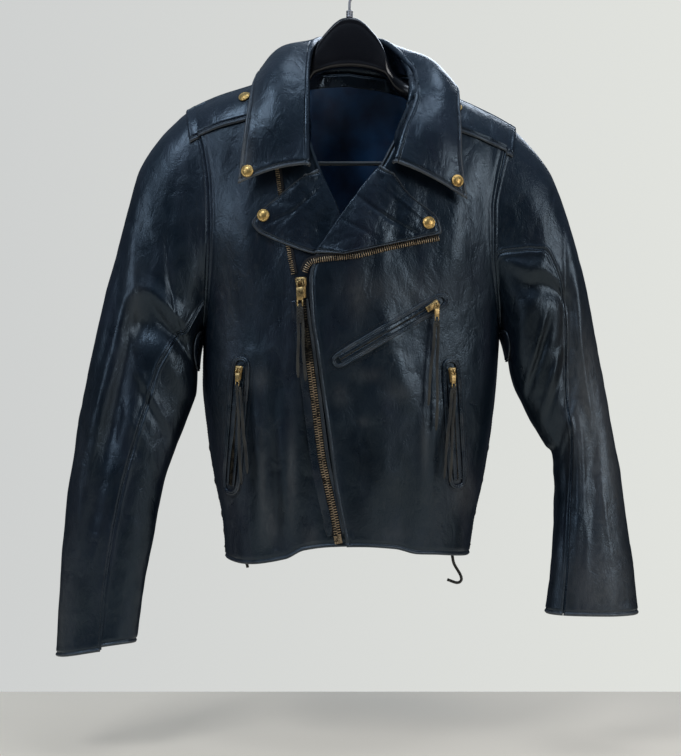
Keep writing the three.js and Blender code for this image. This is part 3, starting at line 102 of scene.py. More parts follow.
def curveThrough(xs, ys):
    # Cubic through the points with harmonic-mean slopes, flat where it turns, never overshooting.
    order = np.argsort(xs)
    x, y = np.array(xs, float)[order], np.array(ys, float)[order]
    step = np.diff(y) / np.diff(x)
    before, after = np.r_[step[0], step], np.r_[step, step[-1]]
    total = np.where(before * after > 0, before + after, 1)
    slope = np.where(before * after > 0, 2 * before * after / total, 0)

    def at(t):
        t = np.clip(t, x[0], x[-1])
        i = np.clip(np.searchsorted(x, t, side="left") - 1, 0, len(x) - 2)
        h = x[i + 1] - x[i]
        s = (t - x[i]) / h
        bend = s * (1 - s) * h * ((1 - s) * slope[i] - s * slope[i + 1])
        return mix(y[i], y[i + 1], s * s * (3 - 2 * s)) + bend

    return at


def columns(rows, key, names):
    # One smooth curve per named column of a table, against its key column.
    table = np.array(rows, float)
    return {n: curveThrough(table[:, key], table[:, i]) for n, i in names.items()}


def noise(points, size, seed):
    # Value noise: random numbers at the corners of a lattice, eased between them, from -1 to 1.
    q = points / size
    base = np.floor(q).astype(np.int64)
    f = q - base
    f = f * f * (3 - 2 * f)

    def corner(dx, dy, dz):
        h = (base[..., 0] + dx) * 374761393 + (base[..., 1] + dy) * 668265263
        h = h + (base[..., 2] + dz) * 1274126177 + seed * 974634777
        h = (h ^ (h >> 13)) * 1103515245 & 0x7FFFFFFF
        h = (h ^ (h >> 15)) * 668265263 & 0x7FFFFFFF
        return (h & 0xFFFFF) / 0xFFFFF * 2 - 1

    def level(dy, dz):
        return mix(corner(0, dy, dz), corner(1, dy, dz), f[..., 0])

    low = mix(level(0, 0), level(1, 0), f[..., 1])
    high = mix(level(0, 1), level(1, 1), f[..., 1])
    return mix(low, high, f[..., 2])


def ridged(points, size, seed):
    # Sharp creases: one minus the size of the noise, where the noise crosses zero.
    return 1 - np.abs(noise(points, size, seed)) * 2


def makeMesh(name, points, quads, triangles=(), attributes=None, smooth=True):
    # Points in millimetres; quads and triangles as rows of point numbers.
    points = np.asarray(points, float).reshape(-1, 3)
    quads = np.asarray(quads, np.int32).reshape(-1, 4)
    triangles = np.asarray(triangles, np.int32).reshape(-1, 3)
    loops = np.concatenate([quads.ravel(), triangles.ravel()])
    starts = np.r_[np.arange(len(quads)) * 4, len(quads) * 4 + np.arange(len(triangles)) * 3]
    mesh = bpy.data.meshes.new(name)
    mesh.vertices.add(len(points))
    mesh.vertices.foreach_set("co", (points * 0.001).astype(np.float32).ravel())
    mesh.loops.add(len(loops))
    mesh.loops.foreach_set("vertex_index", loops.astype(np.int32))
    mesh.polygons.add(len(starts))
    mesh.polygons.foreach_set("loop_start", starts.astype(np.int32))
    mesh.update(calc_edges=True)
    for key, values in (attributes or {}).items():
        layer = mesh.attributes.new(key, "FLOAT", "POINT")
        layer.data.foreach_set("value", np.asarray(values, np.float32).ravel())
    if smooth:
        mesh.shade_smooth()
    piece = bpy.data.objects.new(name, mesh)
    bpy.context.scene.collection.objects.link(piece)
    return piece


def finishPiece(piece, material, stands=(), body=jacketBody):
    # Material and body of a piece, and the CAD nodes that it stands for.
    piece.data.materials.append(material)
    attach(piece, body)
    if stands:
        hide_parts(*stands)


def addPiece(name, part, material, stands=(), body=jacketBody, wearAndHighlight=None, smooth=True):
    # A part, which is (points, quads, triangles), made into a finished piece.
    paint = None if wearAndHighlight is None else {"wearAndHighlight": np.clip(wearAndHighlight, 0, 1)}
    piece = makeMesh(name, *part, paint, smooth)
    finishPiece(piece, material, stands, body)
    return piece


def gridQuads(rows, cols, flip=False, wrap=False):
    # The quads of a grid of rows x cols points; wrap joins the last column to the first.
    ids = np.arange(rows * cols).reshape(rows, cols)
    if wrap:
        ids = np.concatenate([ids, ids[:, :1]], axis=1)
    a, b, c, d = ids[:-1, :-1], ids[:-1, 1:], ids[1:, 1:], ids[1:, :-1]
    quads = np.stack([a, d, c, b] if flip else [a, b, c, d], axis=-1)
    return quads.reshape(-1, 4)


def gridNormals(grid, outward):
    # Unit normals of a grid: across columns times along rows, times `outward` (1 or -1).
    return unit(np.cross(np.gradient(grid, axis=1), np.gradient(grid, axis=0))) * outward


def capFans(rows, cols, flip=False):
    # Fans of triangles that close the first and the last ring of a wrapped grid.
    fan = np.arange(1, cols - 1)
    first, last = np.stack([0 * fan, fan + 1, fan], 1), np.stack([0 * fan, fan, fan + 1], 1)
    if flip:
        first, last = last, first
    return np.concatenate([first, last + (rows - 1) * cols])


def edgeDistances(grid):
    # Distance of every grid point from the four edges, measured along the grid's own lines.
    fromU0 = np.pad(np.cumsum(stepsAlong(grid, 1), axis=1), ((0, 0), (1, 0)))
    fromV0 = np.pad(np.cumsum(stepsAlong(grid), axis=0), ((1, 0), (0, 0)))
    return {"u0": fromU0, "u1": fromU0[:, -1:] - fromU0,
            "v0": fromV0, "v1": fromV0[-1:] - fromV0}


def rimmed(count, length, rim):
    # Places from 0 to 1, with extra ones close to both ends for a rounded rim.
    near = np.array([0, 0.1, 0.35, 0.7, 1.05, 1.7]) * rim / length
    middle = np.linspace(near[-1], 1 - near[-1], count)[1:-1]
    return np.concatenate([near, middle, 1 - near[::-1]])


def edged(count, length, rim=1.0, fine=9.0, step=0.8, ends=(True, True)):
    # Places from 0 to 1: a rounded rim, close lines where edges are stitched, then wider ones.
    near = np.array([0, 0.1, 0.35, 0.7, 1.05, 1.7]) * rim
    near = np.concatenate([near, np.arange(near[-1] + step, fine, step)]) / length
    first = near if ends[0] else np.array([0.0])
    last = 1 - near[::-1] if ends[1] else np.array([1.0])
    return np.concatenate([first, np.linspace(first[-1], last[0], max(count, 4))[1:-1], last])


def wallMesh(name, grid, thick, outward, relief=None, attributes=None, inner=None):
    # A sheet of leather: the outer face is the grid plus its relief, the inner face lies
    # `thick` behind, and both close in a half-round rim.
    normal = gridNormals(grid, outward)
    away = np.minimum.reduce(list(edgeDistances(grid).values()))
    half = thick / 2
    drop = half * (1 - np.sqrt(np.clip(1 - (1 - np.clip(away / half, 0, 1)) ** 2, 0, 1)))
    lift = 0 if relief is None else relief * ease(away / half)
    outer = grid + normal * (lift - drop)[..., None]
    back = grid - normal * (thick - drop)[..., None] if inner is None else inner(grid, normal, drop)
    rows, cols = grid.shape[:2]
    ids = np.arange(rows * cols).reshape(rows, cols)
    under = ids + rows * cols
    for edge in (np.s_[0, :], np.s_[-1, :], np.s_[:, 0], np.s_[:, -1]):
        under[edge] = ids[edge]
    top = gridQuads(rows, cols, flip=outward < 0)
    bottom = under.ravel()[gridQuads(rows, cols, flip=outward > 0)]
    keep = np.zeros(2 * rows * cols, bool)
    keep[top.ravel()] = True
    keep[bottom.ravel()] = True
    number = np.cumsum(keep) - 1
    points = np.concatenate([outer.reshape(-1, 3), back.reshape(-1, 3)])[keep]
    quads = number[np.concatenate([top, bottom])]
    layers = {
        key: np.concatenate([values.ravel(), values.ravel()])[keep]
        for key, values in (attributes or {}).items()
    }
    return makeMesh(name, points, quads, attributes=layers)


def sweep(path, across, up, profile, closed=False):
    # A profile carried along a path: its points are (across, up) pairs, the same at every
    # station or one set for each.
    rings = path[:, None] + across[:, None] * profile[..., :1] + up[:, None] * profile[..., 1:]
    rows, cols = rings.shape[:2]
    if closed:
        rings = np.concatenate([rings, rings[:1]])
        quads = gridQuads(rows + 1, cols, wrap=True) % (rows * cols)
        return rings[:-1].reshape(-1, 3), quads, np.zeros((0, 3), int)
    return rings.reshape(-1, 3), gridQuads(rows, cols, wrap=True), capFans(rows, cols)


def catmullRom(a, b, c, d):
    # 24 places on each span from b to c, with a and d as the neighbours.
    t = np.linspace(0, 1, 24, endpoint=False)[:, None, None]
    s = 0.5 * (2 * b + (c - a) * t + (2 * a - 5 * b + 4 * c - d) * t**2
               + (3 * b - a - 3 * c + d) * t**3)
    return s.transpose(1, 0, 2).reshape(-1, b.shape[1])


def columnsAt(at, length, values):
    # Each column of values, read off at other lengths along its line.
    return np.stack([np.interp(at, length, values[:, k]) for k in range(values.shape[1])], 1)


def smoothPath(points, count):
    # Catmull-Rom through the points, then evenly spaced by length.
    p = np.asarray(points, float)
    p = np.concatenate([2 * p[:1] - p[1:2], p, 2 * p[-1:] - p[-2:-1]])
    fine = np.concatenate([catmullRom(p[:-3], p[1:-2], p[2:-1], p[3:]), p[-2:-1]])
    length = runLengths(fine)
    return columnsAt(np.linspace(0, length[-1], count), length, fine)


def closedPath(points, count):
    # The same through a ring of points, with the last place, which is the first, left out.
    p = np.asarray(points, float)
    ring = np.concatenate([p[-3:], p, p[:4]])
    fine = catmullRom(ring[2:-5], ring[3:-4], ring[4:-3], ring[5:-2])
    fine = np.concatenate([fine, fine[:1]])
    length = runLengths(fine)
    return columnsAt(np.linspace(0, length[-1], count, endpoint=False), length, fine)


def pathFrames(path, upHint):
    # Along, across and up at each point of a path, with up as near the hint as can be.
    along = unit(np.gradient(path, axis=0))
    hint = np.broadcast_to(np.asarray(upHint, float), path.shape)
    up = unit(hint - along * (hint * along).sum(-1, keepdims=True))
    return along, np.cross(up, along), up


def roundSection(width, thick, sides):
    # A rounded oblong: the power 0.5 of cosine and sine, scaled to width and thickness.
    a = (np.arange(sides) + 0.5) / sides * 2 * np.pi
    x = np.sign(np.cos(a)) * np.abs(np.cos(a)) ** 0.5 * width / 2
    y = np.sign(np.sin(a)) * np.abs(np.sin(a)) ** 0.5 * thick / 2
    return np.stack([x, y], axis=1)


def joined(parts):
    # Several (points, quads, triangles) as one.
    points, quads, triangles, base = [], [], [], 0
    for p, q, t in parts:
        points.append(p)
        quads.append(np.asarray(q, int).reshape(-1, 4) + base)
        triangles.append(np.asarray(t, int).reshape(-1, 3) + base)
        base += len(p)
    return np.concatenate(points), np.concatenate(quads), np.concatenate(triangles)


# The jacket's shape, from the same tables as its CAD source.
shape = {
    "wall": 2.0,
    "seamGap": 0.6,
    "sleeveGap": 1.15,
    "armpitZ": -465.0,
    "armpitShare": 0.42,
    "shoulderRound": 45.0,
    "neckHalf": {"left": 62.0, "right": 76.0},
    "neckCurve": 30.0,
    "boxiness": 0.9,
    "overlapStep": 3.4,
    "sleeveJoin": 0.15,
    "backSeamAngle": 250.0,
    "sleeveLength": 640,
    "bodyLength": 600,
}
ridgeRows = {
    "left": [(0, -128), (62, -134), (120, -158), (160, -170), (192, -183), (225, -200)],
    "right": [(0, -128), (62, -140), (120, -169), (160, -186), (199, -206), (230, -225)],
}
# z, half-width left, half-width right, depth in front, depth behind
sectionRows = [
    (-120, 214, 222, 48, 50), (-190, 222, 230, 60, 58), (-250, 222, 232, 74, 68),
    (-340, 212, 215, 86, 80), (-410, 189, 195, 90, 86), (-465, 183, 188, 90, 88),
    (-525, 184, 184, 89, 88), (-590, 178, 177, 88, 86), (-650, 169, 167, 87, 84),
    (-700, 159, 156, 86, 83), (-760, 154, 147, 86, 84),
]
armholeRows = {
    "left": [(-183, 192), (-218, 187), (-249, 179.5), (-298, 173.5), (-335, 172.5),
             (-370, 173.5), (-417, 177), (-465, 183)],
    "right": [(-206, 199), (-246, 191.5), (-282, 183.5), (-320, 178), (-365, 178.5),
              (-408, 182.5), (-441, 186.5), (-465, 188)],
}
innerRows = {
    "left": [(-120, -62), (-180, -57), (-230, -49), (-270, -36), (-330, -10), (-378, 2),
             (-760, 8)],
    "right": [(-120, 76), (-175, 75), (-216, 62), (-245, 48), (-266, 37), (-330, -10),
              (-378, -42), (-405, -49), (-444, -47.3), (-490, -40.6), (-543, -33.5),
              (-601, -25), (-655, -18), (-725, -4.2), (-760, 2)],
}
hemRows = {
    "front": [(-160, -748), (-130, -751), (-78, -742), (-55, -731), (-20, -726.5),
              (10, -725.5), (54, -729), (80, -736), (108, -738.5), (155, -745.5)],
    "back": [(-160, -748), (0, -743), (155, -745.5)],
}
# Folds of the body: x, z, length, width, depth, lean. The second lists are the finer ones.
bodyFolds = {
    "front": [
        (-110, -628, 220, 11, 5, -0.02), (-78, -640, 210, 10, 4.5, -0.1),
        (-94, -650, 190, 7, -4, -0.06), (-128, -600, 200, 8, -2.5, 0.02),
        (52, -500, 150, 14, 2.6, -0.35), (8, -560, 170, 14, -2.4, -0.2),
        (-158, -430, 170, 17, -3, 0.1), (-128, -370, 200, 20, 2.6, 0.1),
        (97, -630, 190, 16, 3.6, 0.03), (45, -600, 200, 22, 2.4, -0.06),
        (156, -430, 170, 17, -3, -0.1), (128, -350, 170, 18, 2.6, -0.15),
        (-97, -600, 260, 5, 1.5, -0.02), (-88, -640, 170, 4, -1.0, -0.05),
        (-62, -560, 190, 7, 0.8, -0.1), (88, -610, 170, 5, 1.2, 0.04),
        (106, -640, 120, 4, -0.9, 0.06), (20, -650, 130, 8, 0.9, -0.12),
        (-110, -460, 150, 7, 0.8, 0.18), (70, -410, 90, 8, 0.8, -0.7),
        (20, -430, 80, 7, 0.8, -0.8), (140, -600, 120, 6, 1.0, -0.02),
    ],
    "back": [
        (-70, -560, 300, 22, 5, 0.06), (-20, -600, 260, 20, -4, -0.03),
        (35, -570, 280, 22, 5, 0.02), (95, -610, 220, 20, 4, -0.06),
        (-130, -360, 180, 20, -4, 0.2), (130, -370, 180, 20, -4, -0.2),
        (0, -260, 140, 40, 4, 0), (-60, -440, 160, 8, 1.4, 0.12),
        (60, -470, 170, 8, 1.4, -0.1), (-110, -640, 120, 7, 1.2, 0.04),
    ],
}
# Sleeve rings: at, outX, outZ, inX, inZ, y, depth, front seam's angle
ringRows = {
    "left": [
        (0, -201, -188, -183, -469, 0, 52, 138), (0.06, -235, -214, -189, -490, -5, 52, 136),
        (0.12, -258, -250, -190, -505, -9, 50, 132), (0.2, -275, -307, -190, -523, -14, 46, 119),
        (0.28, -290, -370, -191, -541, -20, 43, 111), (0.36, -304, -423, -197, -562, -25, 40, 106),
        (0.43, -315, -477, -205, -587, -30, 38, 105), (0.51, -327, -538, -217, -620, -35, 36, 104),
        (0.59, -337, -594, -227, -655, -40, 34, 102), (0.67, -343, -649, -236, -692, -45, 32, 100),
        (0.76, -347, -709, -244, -734, -50, 30, 98), (0.86, -352, -770, -251, -776, -53, 28, 97),
        (0.95, -355, -831, -257, -821, -56, 26, 98), (1, -355, -861, -260, -845, -58, 26, 98),
    ],
    "right": [
        (0, 207, -210, 189, -468, 0, 52, 110), (0.06, 229, -233, 195, -484, -3, 52, 101),
        (0.13, 249, -262, 197, -497, -6, 50, 86), (0.21, 266, -307, 199, -514, -10, 46, 72),
        (0.28, 279, -348, 205, -534, -12, 43, 69), (0.36, 293, -395, 215, -555, -12, 40, 76),
        (0.44, 303, -445, 228, -579, -12, 38, 90), (0.52, 313, -501, 242, -601, -12, 36, 104),
        (0.59, 322, -551, 253, -621, -14, 34, 114), (0.66, 328, -601, 255, -651, -20, 33, 122),
        (0.74, 334, -650, 253, -681, -28, 32, 127), (0.82, 339, -699, 251, -711, -36, 31, 130),
        (0.91, 345, -753, 247, -753, -46, 29, 131), (1, 349, -810, 239, -809, -56, 27, 131),
    ],
}
# Sleeve folds: at, angle, length, width, depth, turn. The finer ones come last.
sleeveFolds = {
    "left": [
        (0.3, 62, 0.3, 16, 5, 20), (0.38, 88, 0.26, 13, -6, 10), (0.6, 55, 0.5, 14, 4, -8),
        (0.62, 78, 0.4, 11, -4, -8), (0.22, 120, 0.16, 18, -5, -60), (0.45, 135, 0.3, 18, -4, 10),
        (0.4, 290, 0.4, 16, -4, 14), (0.65, 265, 0.4, 16, 4, -10),
        (0.44, 76, 0.36, 8, -6, 2), (0.44, 58, 0.42, 8, 3.5, -4), (0.46, 93, 0.36, 8, 3.5, 4),
        (0.33, 74, 0.22, 4.5, 2.2, 14), (0.5, 66, 0.4, 4, 1.4, -6), (0.72, 84, 0.3, 4, 1.3, -4),
        (0.8, 60, 0.3, 5, 1.2, 6), (0.14, 100, 0.14, 6, -1.6, 50),
    ],
    "right": [
        (0.34, 48, 0.36, 13, 5, 30), (0.42, 84, 0.3, 15, -9, 24), (0.7, 112, 0.5, 11, 6, 8),
        (0.6, 134, 0.4, 15, -5, 6), (0.72, 84, 0.36, 12, -3, 10), (0.59, 165, 0.1, 30, -4, 0),
        (0.4, 290, 0.4, 16, -4, 14), (0.65, 250, 0.4, 16, 4, -10),
        (0.5, 70, 0.3, 4.5, 1.8, 12), (0.66, 98, 0.4, 4, 1.5, 6), (0.82, 70, 0.26, 4, 1.2, -6),
        (0.86, 100, 0.22, 4, 1.2, 4), (0.3, 62, 0.2, 5, -1.6, 30),
    ],
}

# Folds that run round a sleeve: at and angle of their middle, change of at for each degree,
# width along the sleeve, half the angle they reach, depth.
ringFolds = {
    "left": [(0.19, 100, -0.0027, 0.020, 62, 4.5), (0.25, 104, -0.0027, 0.036, 46, -8),
             (0.115, 120, -0.0012, 0.014, 36, -2.4), (0.43, 118, 0.0010, 0.014, 40, 2.6),
             (0.46, 122, 0.0010, 0.014, 40, -3), (0.52, 116, 0.0012, 0.018, 36, 1.4),
             (0.60, 96, -0.0016, 0.026, 40, 0.9), (0.34, 330, 0.0010, 0.02, 50, -3)],
    "right": [(0.15, 92, -0.0062, 0.018, 34, 3.6), (0.22, 88, -0.0052, 0.032, 30, -7),
              (0.30, 120, 0.0008, 0.016, 40, 3), (0.335, 122, 0.0008, 0.018, 40, -4),
              (0.42, 118, 0.0010, 0.014, 40, 2.6), (0.45, 112, 0.0010, 0.013, 40, -2.6),
              (0.56, 120, 0.0012, 0.013, 36, 2.2), (0.36, 330, 0.0010, 0.02, 50, -3)],
}

ridgeOf, armholeOf, innerOf, hemOf = [
    {key: curveThrough(*np.array(rows, float).T) for key, rows in table.items()}
    for table in (ridgeRows, armholeRows, innerRows, hemRows)]
section = columns(sectionRows, 0, {"left": 1, "right": 2, "front": 3, "back": 4})
ringNames = {"outX": 1, "outZ": 2, "inX": 3, "inZ": 4, "y": 5, "depth": 6, "seam": 7}
ringOf = {s: columns(rows, 0, ringNames) for s, rows in ringRows.items()}


def bySide(x, left, right):
    return np.where(x < 0, left, right)


def ridgeZ(x):
    # The height of the shoulders' ridge.
    return bySide(x, ridgeOf["left"](np.abs(x)), ridgeOf["right"](np.abs(x)))


def neckHalf(x):
    return bySide(x, shape["neckHalf"]["left"], shape["neckHalf"]["right"])


def innerAt(x, z):
    # The fronts' inner edges at a height, on the side that x is on.
    return bySide(x, innerOf["left"](z), innerOf["right"](z))


def shoulderFactor(x, z):
    # 0 at the shoulder's ridge, then a quarter circle to 1; the neck stays open.
    below = np.clip((ridgeZ(x) - z) / shape["shoulderRound"], 0, 1)
    turned = np.sqrt(1 - (1 - below) ** 2)
    return mix(turned, 1, ease((neckHalf(x) - np.abs(x)) / shape["neckCurve"]))


slack = {"stretch": 0.36, "warp": 15.0, "soft": 3.0, "small": 1.3, "pullRadius": 24.0}
pullSpots = [(-59, -416), (-132, -520), (122, -522), (98, -440), (-14, -716)]


def slackNoise(place, seed):
    # Soft unevenness drawn out along the hang of the leather: warped noise at two sizes.
    warped = place + slack["warp"] * noise(place, 66, seed + 5)[..., None]
    return slack["soft"] * noise(warped, 43, seed) + slack["small"] * noise(warped, 19, seed + 1)


def bodySlack(face, x, z):
    # Kept small where a slider stands on the front.
    deep = 0 * x + (0 if face == "front" else 300)
    total = slackNoise(xyz(x, z * slack["stretch"], deep), 81)
    for px, pz in pullSpots if face == "front" else []:
        total = total * (1 - 0.85 * np.exp(-((x - px) ** 2 + (z - pz) ** 2)
                                           / slack["pullRadius"] ** 2))
    return total


def foldSum(face, x, z):
    # Each fold is a bell across its leaning line that fades to both its ends.
    total = bodySlack(face, x, z)
    for fx, fz, length, width, depth, lean in bodyFolds[face]:
        along = np.abs(z - fz) / (length / 2)
        across = (x - fx - lean * (z - fz)) / width
        total = total + depth * np.exp(-across * across) * ease(1.4 - 1.4 * along)
    return total


def faceDepth(face, x, z):
    # Half-depth of the body: a squared oval in plan, times the shoulder's curve, plus folds.
    half = bySide(x, section["left"](z), section["right"](z))
    oval = np.clip(1 - (x / half) ** 2, 0, None) ** (shape["boxiness"] / 2)
    shoulder = shoulderFactor(x, z)
    cloth = foldSum(face, x, z) * oval * shoulder
    return np.maximum(shape["seamGap"] / 2, section[face](z) * oval * shoulder + cloth)


def overlapShift(side, x, z):
    # Where the fronts overlap, the left one lies back and the right one comes forward.
    low = ease((-z - 200) / 110) * shape["overlapStep"]
    if side == "left":
        return low * ease((x + 76) / 42)
    if side == "right":
        return -low * ease((60 - x) / 50)
    return 0 * x


def frontPlace(side, x, z):
    # A place on a front: the body's depth in front, shifted where the fronts overlap.
    return xyz(x, -faceDepth("front", x, z) + overlapShift(side, x, z), z)


def backPlace(x, z):
    # A place on the back: the body's depth behind.
    return xyz(x, faceDepth("back", x, z), z)


def frontFrame(side, x, z):
    # Place and outward normal of a front, from short steps across and down it.
    step = 0.6
    across = frontPlace(side, x + step, z) - frontPlace(side, x - step, z)
    down = frontPlace(side, x, z - step) - frontPlace(side, x, z + step)
    up = unit(np.cross(across, down))
    return frontPlace(side, x, z), np.where(up[..., 1:2] > 0, -up, up)


def rowHeight(face, x, v):
    # From the ridge to the underarm, then to the hem.
    share = shape["armpitShare"]
    upper = mix(ridgeZ(x), shape["armpitZ"], v / share)
    lower = mix(shape["armpitZ"], hemOf[face](x), (v - share) / (1 - share))
    return np.where(v < share, upper, lower)


def outerEdge(face, side, v):
    # The armhole's line down to the underarm, then the side seam, found in a few rounds.
    x = np.full_like(v, 180.0)
    for _ in range(4):
        z = rowHeight(face, signOf[side] * x, v)
        x = np.where(v < shape["armpitShare"], armholeOf[side](z), section[side](z))
    return signOf[side] * x


def innerEdge(side, v):
    # A front's inner edge, found in a few rounds; it starts where the ridge meets the neck.
    start = signOf[side] * shape["neckHalf"][side]
    x = np.full_like(v, start)
    for _ in range(6):
        x = innerOf[side](rowHeight("front", x, v))
    return np.where(v <= 0, start, x)


def spread(start, end, half, u):
    # Places crowd towards the side, where the panel turns.
    return half * np.sin(mix(np.arcsin(start / half), np.arcsin(end / half), u))


def frontGrid(side, u, v):
    # A front from its inner edge (u 0) to its side (u 1), ridge (v 0) to hem (v 1).
    v = v[:, None]
    outer = outerEdge("front", side, v)
    half = np.maximum(section[side](rowHeight("front", outer, v)), np.abs(outer))
    x = spread(innerEdge(side, v), outer, half, u[None])
    return frontPlace(side, x, rowHeight("front", x, v))


def backGrid(u, v):
    # The back from its left side (u 0) to its right one (u 1), ridge (v 0) to hem (v 1).
    v = v[:, None]
    halves = []
    for side, share in (("left", np.clip(1 - 2 * u, 0, 1)), ("right", np.clip(2 * u - 1, 0, 1))):
        outer = outerEdge("back", side, v)
        half = np.maximum(section[side](rowHeight("back", outer, v)), np.abs(outer))
        halves.append(spread(0 * outer, outer, half, share[None]))
    x = halves[0] + halves[1]
    return backPlace(x, rowHeight("back", x, v))


def armholeLine(side, angle):
    # The armhole seam: angle 0 at the shoulder, 90 in front, 180 underneath.
    top = armholeRows[side][0][0]
    z = mix(top, shape["armpitZ"], (1 - np.cos(np.radians(angle))) / 2)
    x = signOf[side] * armholeOf[side](z)
    front = np.mod(angle, 360) < 180
    y = np.where(front, -faceDepth("front", x, z), faceDepth("back", x, z))
    return xyz(x + signOf[side] * shape["sleeveGap"], y, z)


def sleevePlace(side, angle, at):
    # Squared ovals between the sleeve's outer and inner line, eased out of the armhole's outline.
    ring = {k: f(np.clip(at, 0, 1)) for k, f in ringOf[side].items()}
    cos, sin = np.cos(np.radians(angle)), np.sin(np.radians(angle))
    reachX, reachZ = (ring["outX"] - ring["inX"]) / 2, (ring["outZ"] - ring["inZ"]) / 2
    fold = 0
    for where, middle, length, width, depth, turn in sleeveFolds[side]:
        along = (at - where) / (length / 2)
        wrapped = np.mod(angle - middle - turn * along + 540, 360) - 180
        fold = fold + depth * np.exp(-((wrapped / width) ** 2)) * ease(1.4 - 1.4 * np.abs(along))
    for where, middle, slope, width, half, depth in ringFolds[side]:
        wrapped = np.mod(angle - middle + 540, 360) - 180
        along = (at - where - slope * wrapped) / width
        fold = fold + depth * np.exp(-along * along) * ease(1.5 - 1.5 * np.abs(wrapped) / half)
    onTube = xyz(50 * cos, 50 * sin, at * shape["sleeveLength"] * slack["stretch"] + 0 * angle)
    fold = fold + slackNoise(onTube, 91 if side == "left" else 95) * ease(at / 0.1)
    grow = 1 + fold * cos * cos / np.hypot(reachX, reachZ)
    power = shape["boxiness"]
    out = np.sign(cos) * np.abs(cos) ** power * grow
    x = (ring["outX"] + ring["inX"]) / 2 + reachX * out
    z = (ring["outZ"] + ring["inZ"]) / 2 + reachZ * out
    y = ring["y"] - np.sign(sin) * np.abs(sin) ** power * (ring["depth"] + fold * np.abs(sin))
    place = xyz(x, y, z)
    return mix(armholeLine(side, angle), place, ease(at / shape["sleeveJoin"])[..., None])


print("shape tables ready")


# Materials.
def newMaterial(name):
    # An empty material with its node tree and its Principled shader.
    material = bpy.data.materials.new(name)
    material.use_nodes = True
    return material, material.node_tree, material.node_tree.nodes["Principled BSDF"]


def feed(tree, made, inputs):
    # Gives a node its inputs: another node's socket is linked, a plain value is set.
    for key, value in inputs.items():
        if isinstance(value, bpy.types.NodeSocket):
            tree.links.new(value, made.inputs[key])
        else:
            made.inputs[key].default_value = value
    return made


def node(tree, kind, inputs=None, **settings):
    made = tree.nodes.new("ShaderNode" + kind)
    for key, value in settings.items():
        setattr(made, key, value)
    return feed(tree, made, inputs or {})


def noiseOn(tree, place, scale, detail, roughness=0.5, distortion=0.0):
    return node(tree, "TexNoise", {"Vector": place, "Scale": scale, "Detail": detail,
                                   "Roughness": roughness, "Distortion": distortion}).outputs["Fac"]


def ranged(tree, value, start, end, low=0.0, high=1.0):
    # Low at the start of a value's range, high at its end.
    return node(tree, "MapRange", {"Value": value, "From Min": start, "From Max": end,
                                   "To Min": low, "To Max": high}).outputs["Result"]


def ramp(tree, factor, stops):
    # A colour ramp through (place, colour) stops; a plain number is a grey.
    made = node(tree, "ValToRGB", {"Fac": factor})
    elements = made.color_ramp.elements
    while len(elements) < len(stops):
        elements.new(0.5)
    for element, (place, colour) in zip(elements, stops):
        element.position = place
        element.color = (colour,) * 3 + (1,) if isinstance(colour, (int, float)) else (*colour, 1)
    return made.outputs["Color"]


def blendColours(tree, factor, first, second):
    colours = {6: first, 7: second}
    for key, value in colours.items():
        if not isinstance(value, bpy.types.NodeSocket):
            colours[key] = (*value, 1)
    return node(tree, "Mix", {"Factor": factor, **colours}, data_type="RGBA").outputs[2]


def arithmetic(tree, operation, first, second=0.0, clamp=False):
    made = node(tree, "Math", {0: first, 1: second}, operation=operation, use_clamp=clamp)
    return made.outputs[0]


def objectPlace(tree, stretch=(1, 1, 1)):
    place = node(tree, "TexCoord").outputs["Object"]
    return node(tree, "Mapping", {"Vector": place, "Scale": stretch}).outputs["Vector"]


def bumps(tree, layers):
    # Several heights, one on another: (height socket, depth in metres, strength).
    below = {}
    for height, depth, strength in layers:
        made = node(tree, "Bump", {"Height": height, "Distance": depth, "Strength": strength,
                                   **below})
        below = {"Normal": made.outputs["Normal"]}
    return below["Normal"]


leatherLook = {
    "deep": (0.0009, 0.0030, 0.0064),
    "light": (0.0034, 0.0072, 0.0125),
    "bloom": (0.0105, 0.0125, 0.0205),
    "dusty": (0.038, 0.038, 0.038),
    "wornAndHighlight": (0.118, 0.116, 0.112),
    "shaded": (0.0003, 0.0008, 0.0018),
    "gloss": (0.62, 0.82, 1.0),
    "patchScale": 9.0, "bloomScale": 19.0, "streakScale": 75.0,
    "wrinkleScale": 46.0, "wrinkleDepth": 0.0015,
    "creaseScale": 150.0, "creaseDepth": 0.00010,
    "grainScale": 620.0, "grainDepth": 0.00024,
    "poreScale": 1500.0, "poreDepth": 0.00005,
    "roughness": (0.26, 0.42), "rubbedAndHighlightRoughness": 0.12,
    "specular": 0.58, "coat": 0.07, "coatRoughness": 0.25,
}


